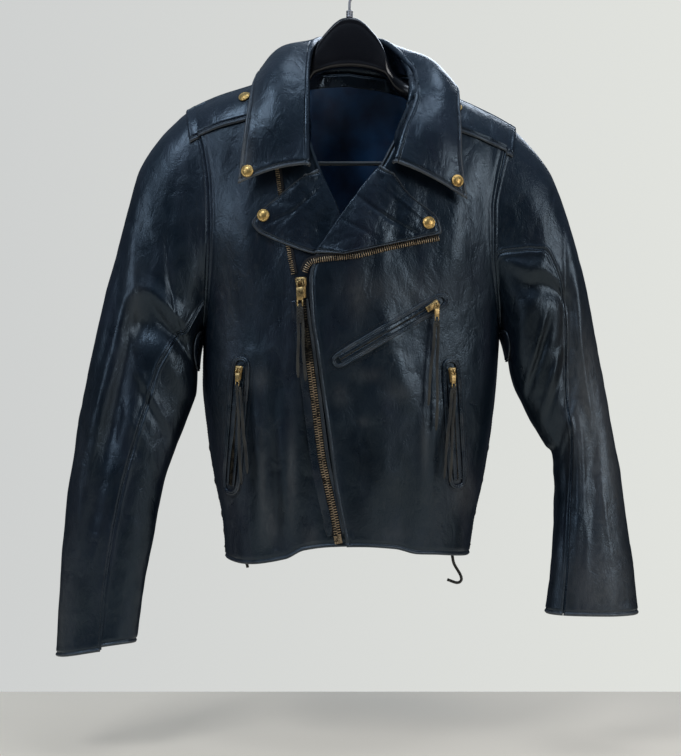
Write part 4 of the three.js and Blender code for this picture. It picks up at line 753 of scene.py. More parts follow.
def leatherMaterial(name, look):
    # Nearly black leather: light and dark patches, wear with painted highlights, painted shade,
    # grain and wrinkles.
    material, tree, shader = newMaterial(name)
    place = objectPlace(tree)
    hung = objectPlace(tree, (1.25, 1.25, 0.7))
    cells = node(tree, "TexVoronoi", {"Vector": place, "Scale": look["grainScale"],
                                      "Randomness": 1.0}, feature="SMOOTH_F1").outputs["Distance"]
    pores = noiseOn(tree, place, look["poreScale"], 3.0)
    wrinkles = noiseOn(tree, hung, look["wrinkleScale"], 7.0, 0.58, 0.6)
    creases = noiseOn(tree, hung, look["creaseScale"], 5.0, distortion=1.1)
    patches = noiseOn(tree, place, look["patchScale"], 5.0, 0.62)
    streaks = noiseOn(tree, hung, look["streakScale"], 6.0, distortion=1.8)
    bloom = noiseOn(tree, objectPlace(tree, (1.0, 1.0, 0.26)), look["bloomScale"], 4.0,
                    distortion=0.9)
    # The first attribute carries wear and painted highlights together; the second is painted shade.
    wearAndHighlight = node(tree, "Attribute", attribute_name="wearAndHighlight").outputs["Fac"]
    shade = node(tree, "Attribute", attribute_name="shade").outputs["Fac"]
    dust = arithmetic(tree, "MULTIPLY", ramp(tree, patches, [(0.5, 0.0), (0.8, 1.0)]),
                      ramp(tree, streaks, [(0.5, 0.0), (0.72, 0.6)]))
    # Wear and painted highlights lighten the colour towards the worn one and make it a little
    # rougher.
    rubbedAndHighlight = arithmetic(tree, "MULTIPLY", wearAndHighlight, ramp(tree, streaks, [(0.26, 0.5), (0.68, 1.0)]),
                        clamp=True)
    base = blendColours(tree, ramp(tree, patches, [(0.36, 0.0), (0.68, 1.0)]),
                        look["deep"], look["light"])
    base = blendColours(tree, ramp(tree, bloom, [(0.46, 0.0), (0.74, 1.0)]), base, look["bloom"])
    base = blendColours(tree, dust, base, look["dusty"])
    base = blendColours(tree, rubbedAndHighlight, base, look["wornAndHighlight"])
    # Painted shade darkens the colour towards near black.
    base = blendColours(tree, shade, base, look["shaded"])
    rough = arithmetic(tree, "ADD", ranged(tree, wrinkles, 0.3, 0.7, *look["roughness"]),
                       arithmetic(tree, "MULTIPLY", rubbedAndHighlight, look["rubbedAndHighlightRoughness"]))
    normal = bumps(tree, [(wrinkles, look["wrinkleDepth"], 1.0),
                          (creases, look["creaseDepth"], 0.6),
                          (cells, look["grainDepth"], 0.55),
                          (pores, look["poreDepth"], 0.6)])
    feed(tree, shader, {"Base Color": base, "Roughness": rough, "Normal": normal,
                        "Specular IOR Level": look["specular"],
                        "Specular Tint": (*look["gloss"], 1),
                        "Coat Weight": look["coat"], "Coat Roughness": look["coatRoughness"]})
    return material


def metalMaterial(name, colour, dark, roughness, pitScale, pitShare):
    # Metal with dark specks and patches where it has tarnished.
    material, tree, shader = newMaterial(name)
    place = objectPlace(tree)
    specks = noiseOn(tree, place, pitScale, 4.0, 0.7)
    patches = noiseOn(tree, place, pitScale / 6, 3.0)
    both = arithmetic(tree, "MULTIPLY", arithmetic(tree, "ADD", specks, patches), 0.5)
    mask = ramp(tree, both, [(pitShare, 0.0), (pitShare + 0.09, 1.0)])
    feed(tree, shader, {
        "Base Color": blendColours(tree, mask, colour, dark), "Metallic": 1.0,
        "Roughness": ranged(tree, both, 0.35, 0.65, roughness, roughness + 0.22),
        "Normal": bumps(tree, [(specks, 0.00012, 0.5)])})
    return material


def clothMaterial(name, deep, light, weaveScale, roughness, depth=0.0001):
    # Cloth: a fine weave from two crossed waves, with soft light and dark areas.
    material, tree, shader = newMaterial(name)
    place = objectPlace(tree)
    soft = noiseOn(tree, place, 28.0, 4.0)
    over, cross = [node(tree, "TexWave", {"Vector": place, "Scale": weaveScale, "Distortion": 0.4},
                        bands_direction=way).outputs["Fac"] for way in ("DIAGONAL", "Z")]
    weave = arithmetic(tree, "ADD", over, cross)
    feed(tree, shader, {
        "Base Color": blendColours(tree, ramp(tree, soft, [(0.35, 0.0), (0.7, 1.0)]), deep, light),
        "Roughness": roughness,
        "Normal": bumps(tree, [(soft, 0.0012, 0.6), (weave, depth, 0.5)])})
    return material


def suedeMaterial(name, deep, light):
    # Suede: a short nap, lighter and darker along its hang.
    material, tree, shader = newMaterial(name)
    nap = noiseOn(tree, objectPlace(tree), 900.0, 5.0)
    soft = noiseOn(tree, objectPlace(tree, (1, 1, 0.4)), 120.0, 4.0)
    feed(tree, shader, {
        "Base Color": blendColours(tree, ramp(tree, soft, [(0.36, 0.0), (0.66, 1.0)]), deep, light),
        "Roughness": 0.78, "Sheen Weight": 0.25,
        "Normal": bumps(tree, [(soft, 0.0005, 0.7), (nap, 0.0001, 0.8)])})
    return material


def plasticMaterial(name, colour, roughness):
    # Moulded plastic: smooth and glossy, with faint haze and hairline scratches.
    material, tree, shader = newMaterial(name)
    haze = noiseOn(tree, objectPlace(tree), 22.0, 5.0)
    lines = noiseOn(tree, objectPlace(tree, (12, 1, 90)), 9.0, 4.0)
    feed(tree, shader, {
        "Base Color": (*colour, 1),
        "Roughness": ranged(tree, haze, 0.35, 0.7, roughness, roughness + 0.16),
        "Normal": bumps(tree, [(haze, 0.0003, 0.12), (lines, 0.00005, 0.2)])})
    return material


jacketLeather = leatherMaterial("jacketLeather", leatherLook)
trimLeather = leatherMaterial(
    "trimLeather", {**leatherLook, "light": (0.0055, 0.0095, 0.0155), "roughness": (0.22, 0.34)}
)
liningSatin = clothMaterial("liningSatin", (0.0005, 0.018, 0.062), (0.003, 0.060, 0.170), 700.0,
                            0.5)
snapBrass = metalMaterial("snapBrass", (0.60, 0.39, 0.14), (0.18, 0.11, 0.04), 0.27, 420.0, 0.54)
pullBrass = metalMaterial("pullBrass", (0.46, 0.32, 0.14), (0.08, 0.055, 0.03), 0.3, 520.0, 0.52)
toothBrass = metalMaterial("toothBrass", (0.44, 0.33, 0.21), (0.03, 0.022, 0.015), 0.36, 700.0, 0.5)
darkTooth = metalMaterial("darkTooth", (0.10, 0.085, 0.06), (0.012, 0.011, 0.010), 0.4, 700.0, 0.48)
zipTape = clothMaterial("zipTape", (0.003, 0.003, 0.004), (0.008, 0.008, 0.01), 1400.0, 0.85,
                        depth=0.0003)
thongSuede = suedeMaterial("thongSuede", (0.006, 0.0058, 0.0045), (0.030, 0.028, 0.020))
laceBraid = clothMaterial("laceBraid", (0.028, 0.027, 0.024), (0.070, 0.068, 0.060), 700.0, 0.9,
                          depth=0.0002)
threadBlack = clothMaterial("threadBlack", (0.010, 0.012, 0.016), (0.028, 0.031, 0.038), 2400.0,
                            0.55)
hangerPlastic = plasticMaterial("hangerPlastic", (0.006, 0.006, 0.008), 0.16)
barPlastic = plasticMaterial("barPlastic", (0.045, 0.055, 0.062), 0.22)
hookSteel = metalMaterial("hookSteel", (0.33, 0.33, 0.35), (0.10, 0.10, 0.11), 0.32, 500.0, 0.6)
print("materials ready")

# The free cords come first: thongs on the zip pulls, and the lace ends.
# Each pull: the tab's axis, the direction of that axis, its size against the main one, and the
# thongs (length, lean, place beside) that hang from it.
pullTable = {
    "main": {
        "pivot": (-59.641, -93.565, -408.943), "level": (0.99046, -0.13782, 0), "size": 1.0,
        "thongs": [(84, 0, -2.2), (88, 0.05, 1.9)],
    },
    "left_pocket": {
        "pivot": (-135.898, -71.600, -512.835), "level": (0.90440, -0.42669, 0), "size": 0.7,
        "thongs": [(118, 0.05, -0.6), (104, 0.1, 3.4)],
    },
    "right_pocket": {
        "pivot": (124.785, -76.584, -515.044), "level": (0.93116, 0.36461, 0), "size": 0.7,
        "thongs": [(108, -0.1, -2.2), (112, -0.06, 1.8)],
    },
    "chest_pocket": {
        "pivot": (103.908, -85.337, -435.102), "level": (0.96525, 0.26135, 0), "size": 0.7,
        "thongs": [(100, -0.09, -2.2), (130, -0.02, 1.9)],
    },
}
tabShape = {"length": 31.0, "bar": 1.0}
thongShape = {"width": 3.6, "thick": 1.3, "wave": 0.5, "twist": 22.0, "stations": 40}
downward = np.array([0.0, 0.0, -1.0])


def thongPath(pull, strand, seed):
    # Straight down from the tab, leaning, with a slight wave in and out and to the side.
    length, lean, beside = strand
    level = np.array(pull["level"])
    forward = np.cross(level, -downward)
    start = np.array(pull["pivot"]) + downward * ((tabShape["length"] - tabShape["bar"])
                                                  * pull["size"] + 0.5)
    t = np.linspace(0, 1, thongShape["stations"])[:, None]
    wave = thongShape["wave"] * ease(t * 4)
    sideways = beside + lean * length * t + wave * np.sin(9 * t + seed)
    depth = wave * 0.6 * np.sin(7 * t + 2 * seed)
    return start + level * sideways + forward * depth + downward * length * t, forward


for pullName, pull in pullTable.items():
    for i, strand in enumerate(pull["thongs"]):
        path, forward = thongPath(pull, strand, i * 1.7 + len(pullName))
        along, across, up = pathFrames(path, forward)
        turn = np.radians(thongShape["twist"] * np.sin(np.linspace(0, 6, len(path)) + i))[:, None]
        across, up = (across * np.cos(turn) + up * np.sin(turn),
                      up * np.cos(turn) - across * np.sin(turn))
        profile = np.repeat(roundSection(thongShape["width"], thongShape["thick"], 10)[None],
                            len(path), axis=0)
        profile[:, :, 0] *= 1 + 0.06 * np.sin(np.linspace(0, 31, len(path)))[:, None]
        profile[-2:] *= [[[0.8]], [[0.35]]]
        name = f"{pullName}_thong_{i + 1}"
        piece = addPiece(name + "_suede", sweep(path, across, up, profile), thongSuede, [name],
                         f"{pullName}_pull")

laceShape = {"diameter": 3.7}
laceEndRows = {
    "left": [(-137, None, -728), (-135, 21, -742), (-132, 14, -753), (-129, 11, -764)],
    "right": [(130, None, -726), (130, 22, -739), (131, 13, -752), (133, 11, -760),
              (140.5, 10, -773), (141.5, 10, -780), (136, 10, -783), (124, 10, -779)],
}


def braidedTube(path, radius, sides=12, pitch=5.0):
    # A round tube with a low plait: two crossed spirals of ridges.
    along, across, up = pathFrames(path, (0.2, 0.9, 0.1))
    length = runLengths(path)[:, None]
    a = ((np.arange(sides) + 0.5) / sides * 2 * np.pi)[None]
    phase = length / pitch * 2 * np.pi
    ridge = 0.07 * radius * (np.sin(3 * a + phase) * np.sin(3 * a - phase))
    profile = np.stack([np.cos(a) * (radius + ridge), np.sin(a) * (radius + ridge)], axis=-1)
    return sweep(path, across, up, profile)


for side, rows in laceEndRows.items():
    first = np.array([[rows[0][0]]], float), np.array([[rows[0][2]]], float)
    inside = float(faceDepth("back", *first)[0, 0]) - shape["wall"] - 1.5 - 2.2
    path = smoothPath([(x, inside if y is None else y, z) for x, y, z in rows], 60)
    piece = addPiece(f"lace_end_{side}_braid", braidedTube(path, laceShape["diameter"] / 2),
                     laceBraid, [f"lace_end_{side}"])
print("cords ready")

stitchRows = []  # (points, normals) of every row of topstitching
leatherThread = {"length": 2.7, "gap": 1.0, "radius": 0.26, "sink": 0.02}


def seamRelief(distance):
    # A dip at the seam and a soft swelling beside it.
    return -0.9 * bump(distance, 0, 1.4) + 0.7 * bump(distance, 3.2, 2.0)


def feltRelief(distance):
    # A seam laid open: a padded band beside it that ends at a groove of topstitching.
    return (-0.9 * bump(distance, 0, 1.3) + 0.9 * bump(distance, 3.4, 2.0)
            - 0.5 * bump(distance, 7.2, 1.0) + 0.25 * bump(distance, 10.5, 2.6))


def beadRelief(distance):
    # A rolled edge, the groove of its topstitching, and a soft swelling behind it.
    return 0.8 * bump(distance, 2.2, 1.5) - 0.85 * bump(distance, 5.0, 1.0) + 0.35 * bump(
        distance, 8.4, 2.6)


edgeKinds = {"seam": seamRelief, "felt": feltRelief, "bead": beadRelief}


def creaseRelief(grid, amount, seed):
    # Broad unevenness plus fine creases that lie mostly along the cloth's hang.
    tall = grid * np.array([1, 1, 0.5])
    warped = tall + noise(tall, 26, seed + 7)[..., None] * 8
    broad = 0.35 * noise(tall, 27, seed) + 0.3 * noise(grid, 13, seed + 1)
    fine = -0.6 * np.clip(ridged(warped, 26, seed + 2), 0, 1) ** 4
    finer = -0.26 * np.clip(ridged(warped, 12, seed + 3), 0, 1) ** 3
    where = ease(0.5 + 0.9 * noise(grid, 70, seed + 4))
    return amount * (broad + where * (fine + finer))


def lineAt(grid, edge, distance):
    # The line on a grid that lies a distance in from one edge, row by row.
    away = edgeDistances(grid)[edge]
    if edge.startswith("v"):
        away, grid = away.T, grid.transpose(1, 0, 2)
    if edge.endswith("1"):
        away, grid = away[:, ::-1], grid[:, ::-1]
    i = np.clip((away <= distance).sum(axis=1) - 1, 0, away.shape[1] - 2)
    row = np.arange(len(grid))
    t = (distance - away[row, i]) / np.maximum(away[row, i + 1] - away[row, i], 1e-6)
    return mix(grid[row, i], grid[row, i + 1], np.clip(t, 0, 1)[:, None])


def addStitches(grid, outward, edge, distance, trim=0.0):
    # Remembers a row of topstitching on a panel; trim is cut off both its ends.
    normals = gridNormals(grid, outward)
    near = lineAt(np.concatenate([grid, normals], axis=2), edge, distance)
    line, up = near[:, :3], unit(near[:, 3:])
    length = runLengths(line)
    keep = (length >= trim) & (length <= length[-1] - trim)
    stitchRows.append((line[keep], up[keep]))


def paintSpots(grid, spots):
    # Soft spots (place, radius, strength), added up.
    total = np.zeros(grid.shape[:2])
    for place, radius, strength in spots:
        apart = np.linalg.norm((grid - np.array(place)) / np.array(radius), axis=-1)
        total = total + strength * np.exp(-apart * apart)
    return total


def paintWearAndHighlight(grid, edges, rim, patches):
    # Wear and painted highlight: strong on rubbed rims, faint over a whole patch (place, radius,
    # strength). The patches include painted highlights as well as wear.
    distances = edgeDistances(grid)
    wearAndHighlight = 0.0
    for edge in edges:
        # A light line on each bead's crown, partly edge wear and partly painted highlight.
        crown = 0.75 * np.exp(-(((distances[edge] - 2.2) / 1.1) ** 2))
        wearAndHighlight = np.maximum(wearAndHighlight, rim * np.maximum(np.exp(-distances[edge] / 1.5), crown))
    return np.clip(wearAndHighlight + paintSpots(grid, patches), 0, 1)


def declareSheet(grid):
    # The cut's flat size, from the grid's own lines, and its flat area.
    across = stepsAlong(grid, 1).sum(axis=1).max() / 1000
    along = stepsAlong(grid).sum(axis=0).max() / 1000
    du, dv = np.diff(grid, axis=1)[:-1], np.diff(grid, axis=0)[:, :-1]
    area = np.linalg.norm(np.cross(du, dv), axis=-1).sum() / 1e6
    area = min(max(area, 0.31 * across * along), across * along)


def leatherPanel(name, nodes, grid, outward, look):
    # One cut piece: its edges' reliefs, creases, wear with painted highlights, painted shade, rows
    # of stitches and finish.
    distances = edgeDistances(grid)
    relief = creaseRelief(grid, look["crease"], look["seed"])
    for edge, kind in look["edges"].items():
        relief = relief + edgeKinds[kind](distances[edge])
    if "extra" in look:
        relief = relief + look["extra"](grid)
    # Wear with painted highlights, and painted shade spots, are carried as attributes into the
    # colour.
    wearAndHighlight = paintWearAndHighlight(grid, [e for e, k in look["edges"].items() if k == "bead"],
                     look.get("rim", 0.5), look.get("patches", []))
    shade = np.clip(paintSpots(grid, look.get("shades", [])), 0, 1)
    piece = wallMesh(name, grid, look["thick"], outward, relief, {"wearAndHighlight": wearAndHighlight, "shade": shade})
    finishPiece(piece, look.get("material", jacketLeather), nodes)
    declareSheet(grid)
    outer = grid + gridNormals(grid, outward) * relief[..., None]
    for edge, distance, trim in look.get("stitches", []):
        addStitches(outer, outward, edge, distance, trim)
    return piece


detail = 0.76
bodyLook = {"columns": int(92 * detail), "backColumns": int(150 * detail),
            "upperRows": int(84 * detail), "lowerRows": int(104 * detail),
            "frontWidth": 245, "backWidth": 560, "sewn": 12.0, "thick": 2.0, "rim": 0.35}
share = shape["armpitShare"]
upperRows = share * np.linspace(0, 1, bodyLook["upperRows"]) ** 1.7
lowerRows = 1 - (1 - share) * np.linspace(1, 0, bodyLook["lowerRows"])[1:]
bodyRows = np.concatenate([upperRows, lowerRows])
# Close rows follow the hem's roll and its stitching: mm above the hem.
rimRows = np.array([8.5, 7.5, 6.5, 5.7, 5.0, 4.3, 3.5, 2.8, 2.2, 1.7, 1.05, 0.7, 0.35, 0.1])
rimRows = 1 - rimRows / shape["bodyLength"]
bodyRows = np.sort(np.concatenate([bodyRows[bodyRows < 1 - 9 / shape["bodyLength"]], [1.0],
                                   rimRows, [2e-5, 2e-4]]))
# Painted highlights on the fronts, along fold ridges and as soft glints in the worn colour: (place,
# radius, strength).
frontHighlights = {
    "left": [((-150, -70, -600), (18, 60, 90), 0.19), ((-94, -80, -700), (9, 60, 26), 0.46),
             ((-106, -80, -650), (5, 60, 60), 0.34), ((-70, -80, -640), (6, 60, 52), 0.40),
             ((-46, -80, -716), (11, 60, 14), 0.31), ((-108, -80, -524), (10, 60, 16), 0.31),
             ((-150, -80, -430), (12, 60, 70), 0.19)],
    "right": [((22, -80, -520), (20, 60, 9), 0.23), ((58, -80, -540), (18, 60, 12), 0.22),
              ((-12, -80, -544), (9, 60, 12), 0.25), ((17, -80, -576), (8, 60, 6), 0.25),
              ((90, -80, -602), (5, 60, 36), 0.31), ((140, -80, -662), (14, 60, 26), 0.46),
              ((60, -80, -420), (60, 60, 22), 0.25), ((10, -80, -430), (10, 60, 30), 0.25),
              ((52, -80, -712), (26, 60, 10), 0.16)],
}
# Painted shade in the fronts' fold valleys: (place, radius, strength).
frontShades = {
    "left": [((-92, -80, -626), (6, 60, 60), 0.9), ((-116, -80, -610), (5, 60, 50), 0.7),
             ((-54, -80, -600), (9, 60, 90), 0.8), ((-84, -80, -690), (7, 60, 36), 0.7)],
    "right": [((20, -80, -620), (26, 60, 34), 0.8), ((60, -80, -660), (40, 60, 30), 0.5),
              ((118, -80, -560), (8, 60, 60), 0.8), ((6, -80, -690), (20, 60, 30), 0.6)],
}
for side in ("left", "right"):
    across = edged(bodyLook["columns"], bodyLook["frontWidth"], fine=bodyLook["sewn"])
    grid = frontGrid(side, across, bodyRows)
    leatherPanel(f"front_{side}_panel", [f"front_{side}"], grid, signOf[side] * -1, {
        **bodyLook, "crease": 0.75, "seed": 11 if side == "left" else 12,
        "edges": {"u1": "felt", "v0": "seam", "v1": "bead",
                  "u0": "seam" if side == "left" else "bead"},
        "patches": frontHighlights[side], "shades": frontShades[side],
        "stitches": [("v1", 5.0, 4), ("u1", 7.2, 4)] + (
            [("u0", 5.0, 6)] if side == "right" else []),
    })
across = edged(bodyLook["backColumns"], bodyLook["backWidth"], fine=bodyLook["sewn"])
leatherPanel("back_panel", ["back"], backGrid(across, bodyRows), 1, {
    **bodyLook, "crease": 0.8, "seed": 13,
    "edges": {"u0": "felt", "u1": "felt", "v0": "seam", "v1": "bead"},
    "stitches": [("v1", 5.0, 4), ("u0", 7.2, 4), ("u1", 7.2, 4)],
})
print("body panels ready")

sleeveLook = {"rows": int(190 * detail), "top": int(120 * detail), "under": int(70 * detail),
              "topWidth": 330, "underWidth": 170, "seamTurn": 0.35, "cuffStep": 5.0}
# Wear, partly painted highlight, on the sleeves, then painted shade where little light falls, under
# the arms.
sleeveWearAndHighlights = {
    "left": [((-330, -70, -560), (20, 40, 160), 0.12), ((-345, -70, -800), (16, 40, 60), 0.22),
             ((-262, -60, -430), (12, 40, 60), 0.14)],
    "right": [((288, -50, -540), (26, 40, 90), 0.55), ((316, -60, -640), (22, 40, 110), 0.50),
              ((300, -70, -780), (40, 40, 50), 0.50), ((262, -60, -450), (14, 40, 70), 0.30)],
}
sleeveShades = {
    "left": [((-198, -60, -478), (26, 300, 36), 0.9), ((-206, -60, -568), (24, 300, 60), 0.8)],
    "right": [((238, -60, -500), (24, 300, 110), 1.0), ((222, -60, -420), (26, 300, 60), 0.8)],
}
for side in ("left", "right"):
    at = edged(sleeveLook["rows"], shape["sleeveLength"])
    seam = ringOf[side]["seam"](at)[:, None]
    gap = sleeveLook["seamTurn"]
    spans = {
        "top": (shape["backSeamAngle"] - 360 + gap, seam - gap),
        "under": (seam + gap, shape["backSeamAngle"] - gap),
    }
    for part, (start, end) in spans.items():
        u = edged(sleeveLook[part], sleeveLook[part + "Width"], fine=7.0)[None]
        angle = mix(start, end, u)
        grid = sleevePlace(side, angle, at[:, None] + 0 * angle)
        if part == "under" and side == "left":
            # The under sleeve's cuff stops a little higher at the seam than the top one's.
            rise = ease((at[:, None] - 0.93) / 0.07) * ease(1 - u * 1.6)
            grid[..., 2] += sleeveLook["cuffStep"] * rise
        leatherPanel(f"sleeve_{part}_{side}_panel", [f"sleeve_{part}_{side}"], grid,
                     signOf[side], {
            "thick": 2.0, "crease": 1.0, "seed": 21 + len(part) + signOf[side],
            "edges": {"u0": "seam", "u1": "seam", "v0": "seam", "v1": "bead"},
            "patches": sleeveWearAndHighlights[side], "shades": sleeveShades[side], "rim": 0.7,
            "stitches": [("v1", 5.0, 3)] + ([("u1", 3.4, 5)] if part == "top" else []),
        })
    u, v = np.meshgrid(rimmed(34, 60, 0.6), rimmed(44, 90, 0.6))
    halfAngle = 24 * np.sin(np.pi * mix(0.08, 0.92, v))
    base = sleevePlace(side, 172 + (u - 0.5) * 2 * halfAngle, mix(0.045, 0.17, v))
    grid = base + gridNormals(base, signOf[side]) * 2.1
    leatherPanel(f"gusset_{side}_panel", [f"gusset_{side}"], grid, signOf[side], {
        "thick": 1.2, "crease": 0.3, "seed": 31, "rim": 0.25,
        "edges": {"u0": "bead", "u1": "bead", "v1": "bead"},
    })
print("sleeves ready")

# Collar: along, neck seam xyz, fold xyz, free edge xyz, how high the leaf arches
collarRows = [
    (0, -53, -83, -269, -50, -94, -271, -134, -86, -292, 3),
    (0.1, -55, -74, -222, -51, -80, -214, -128, -82, -240, 6),
    (0.2, -60, -52, -171, -51, -56, -161, -122, -64, -190, 9),
    (0.29, -63, -24, -143, -50, -30, -129, -117, -38, -158, 13),
    (0.36, -61, 3, -134, -46, -3, -104, -109, 4, -140, 15),
    (0.43, -42, 38, -127, -34, 34, -87, -76, 60, -142, 11),
    (0.5, 0, 49, -125, 0, 50, -84, 0, 70, -150, 5),
    (0.57, 48, 40, -128, 37, 34, -89, 82, 60, -148, 11),
    (0.64, 75, 3, -145, 64, -2, -117, 117, 2, -151, 14),
    (0.71, 76, -24, -160, 80, -27, -146, 134, -36, -172, 11),
    (0.8, 74, -52, -184, 81, -54, -177, 134, -60, -206, 8),
    (0.9, 60, -74, -222, 67, -82, -222, 134, -78, -254, 6),
    (1, 56, -84, -265, 53, -94, -268, 140, -84, -310, 3),
]
collarShape = {"roll": 2.2, "thick": 2.2, "clear": 1.5, "overStrap": {"left": 5.0, "right": 6.2},
               "footInset": 2.0, "stations": int(230 * detail), "stand": int(14 * detail),
               "fold": int(14 * detail) + 2, "leaf": int(46 * detail)}
collarNames = {line + axis: 1 + 3 * i + j for i, line in enumerate(("seam", "fold", "edge"))
               for j, axis in enumerate("XYZ")}
collarCurves = columns(collarRows, 0, {**collarNames, "lift": 10})


def collarLine(line, s):
    # One of the collar's three lines: neck seam, fold or free edge.
    s = np.clip(s, 0, 1)
    return np.stack([collarCurves[line + axis](s) for axis in "XYZ"], axis=-1)


def clearOfBody(place, gap):
    # Moves places straight out until they are at least `gap` from the body's surface.
    x, y, z = np.moveaxis(place.copy(), -1, 0)
    free = (y < 0) & (np.abs(x) < np.abs(innerAt(x, z)) - 1)
    neck = neckHalf(x)
    bend = shape["shoulderRound"]
    for _ in range(4):
        front, sign = y < 0, np.where(y < 0, -1, 1)
        top = ridgeZ(x)
        below = top - z
        plain = (below > bend) | (np.abs(x) < neck - 4)
        low = np.minimum(z, top)
        shift = bySide(x, overlapShift("left", x, low), overlapShift("right", x, low))
        depth = np.where(front, faceDepth("front", x, low) - shift, faceDepth("back", x, low))
        short = gap + depth - np.abs(y)
        straight = np.where((short > 0) & (below > -2), short, 0)
        wide = np.where(front, faceDepth("front", x, top - bend), faceDepth("back", x, top - bend))
        a, b = np.abs(y) / wide, (bend - below) / bend
        size = np.hypot(a, b)
        slope = np.maximum(np.hypot(a / wide, b / bend), 1e-6)
        push = np.clip(gap - (size - 1) * size / slope, 0, None)
        y = y + np.where(free, 0, sign * np.where(plain, straight, push * a / wide / slope))
        z = z + np.where(free | plain, 0, push * b / bend / slope)
    return xyz(x, y, z)


def collarFoot(s):
    # The stand's foot follows the panels' neck edges; its two front ends turn on to the fronts.
    x, y, z = np.moveaxis(collarLine("seam", s), -1, 0)
    ends = ease((np.abs(s - 0.5) - 0.39) / 0.09)
    frontX = mix(innerAt(x, z) - np.where(x < 0, -1, 1) * collarShape["footInset"], x, ends)
    frontY = -faceDepth("front", frontX, z) - 4.6 * ends
    backZ = ridgeZ(x) + 0.9
    behind = (s > 0.37) & (s < 0.63)
    return xyz(np.where(behind, x, frontX),
               np.where(behind, faceDepth("back", x, backZ), frontY),
               np.where(behind, backZ, z + 0.8))


def leafShares(count):
    # Even places for a few lines; many lines crowd at the leaf's edge.
    return np.linspace(0, 1, count + 1) if count < 8 else edged(count, 85, 1.1,
                                                                ends=(False, True))


def collarGrid(s, standCount, foldCount, leafCount):
    # Across the collar at each s: up the stand, round the fold and down the leaf.
    foot, fold, edge = collarFoot(s), collarLine("fold", s), collarLine("edge", s)
    ahead = unit(collarLine("fold", s + 0.01) - collarLine("fold", s - 0.01))
    away = -unit(unit(foot - fold) + unit(edge - fold))
    away = unit(away - ahead * (away * ahead).sum(-1, keepdims=True))
    across = np.cross(ahead, away)
    across *= np.sign((across * (edge - foot)).sum(-1, keepdims=True))
    roll = collarShape["roll"]

    def turned(angle):
        return fold + across * np.cos(angle) * roll + away * (np.sin(angle) - 1) * roll

    leafStart, standTop = turned(0.0), turned(np.pi)
    lift = unit(np.cross(edge - leafStart, ahead))
    lift *= -np.sign((lift * (foot - fold)).sum(-1, keepdims=True))
    arch = collarCurves["lift"](s)[:, None]
    lines = [foot]
    lines += [mix(foot, standTop, t) for t in np.linspace(0, 1, standCount + 1)[1:]]
    lines += [turned(np.pi * (1 - t)) for t in np.linspace(0, 1, foldCount + 1)[1:-1]]
    shares = leafShares(leafCount)
    lines += [mix(leafStart, edge, t) + lift * np.sin(np.pi * t) * arch for t in shares]
    grid = np.stack(lines, axis=1)
    x, z = grid[..., 0], grid[..., 2]
    overStrap = ease((np.abs(x) - 92) / 16) * ease((z + 250) / 30)
    over = bySide(x, collarShape["overStrap"]["left"], collarShape["overStrap"]["right"])
    cleared = clearOfBody(grid, collarShape["clear"] + over * overStrap)
    cleared[:, 0] = grid[:, 0]
    return cleared


def collarHangs(s, u, grid):
    # The front ends are cut in a shallow curve, and the left one's tip turns up a little.
    reach = np.clip((np.abs(grid[..., 0]) - 48) / 88, 0, 1)
    near = np.exp(-((np.minimum(s, 1 - s) / 0.05) ** 2)) * (u > 0.3)
    return near * np.where(s < 0.5, 7.5, 5.0) * np.sin(np.pi * reach) * (0.55 - 0.1 * reach)


s = edged(collarShape["stations"], 560, 1.1)
inside = collarGrid(s, collarShape["stand"], collarShape["fold"], collarShape["leaf"])
inside[..., 2] += collarHangs(s[:, None], np.linspace(0, 1, inside.shape[1])[None], inside)
outside = inside - gridNormals(inside, 1) * collarShape["thick"]
leatherPanel("collar_leaf", ["collar"], outside, -1, {
    "material": trimLeather, "thick": collarShape["thick"], "crease": 0.55, "seed": 41, "rim": 0.8,
    "edges": {"u1": "bead", "v0": "bead", "v1": "bead", "u0": "seam"}, "held": "folded",
    "patches": [((-128, -80, -270), (10, 40, 40), 0.5), ((140, -80, -290), (12, 40, 40), 0.2),
                ((-120, -60, -190), (12, 40, 40), 0.2)],
    "stitches": [("u1", 5.0, 5), ("v0", 5.0, 30), ("v1", 5.0, 30)],
})
print("collar ready")

# Lapels: along, roll edge x and z, outer edge x and z, arch between them, stand-off of the
# outer edge
lapelRows = {
    "left": [(0, -41, -273, -54, -281, 1.2, 3.6), (0.22, -34, -283, -84, -306, 2.6, 3.6),
             (0.42, -25, -300, -112, -329, 2.8, 3.6), (0.52, -18, -316, -117.5, -338, 2.4, 3.6),
             (0.6, -15, -324, -111, -348, 2.0, 3.6),
             (0.68, -12, -331, -98, -355, 1.2, 3.6), (0.85, -6, -344, -70, -367, 0.4, 3.6),
             (0.92, -6, -350, -54, -373, 0.2, 3.2), (1, -6, -357, -34, -378, 0, 1.4)],
    "right": [(0, 38, -269, 51, -279, 1.2, 3.6), (0.24, 24, -284, 76, -310, 2.8, 3.6),
              (0.44, 6, -308, 106, -334, 3, 3.6), (0.54, -2, -319, 109.5, -349, 2.8, 3.6),
              (0.68, -12, -333, 88, -355, 2.4, 3.6), (0.84, -27, -355, 40, -366, 1.4, 3.6),
              (1, -41, -375, -8, -376.5, 0.4, 3.6)],
}
lapelShape = {"lift": 1.0, "thick": 1.6, "rollRadius": 2.2, "rollTurn": 150.0,
              "rows": int(130 * detail), "columns": int(84 * detail), "rollColumns": 10}
lapelNames = {"rollX": 1, "rollZ": 2, "outX": 3, "outZ": 4, "arch": 5, "edge": 6}
lapelOf = {side: columns(rows, 0, lapelNames) for side, rows in lapelRows.items()}


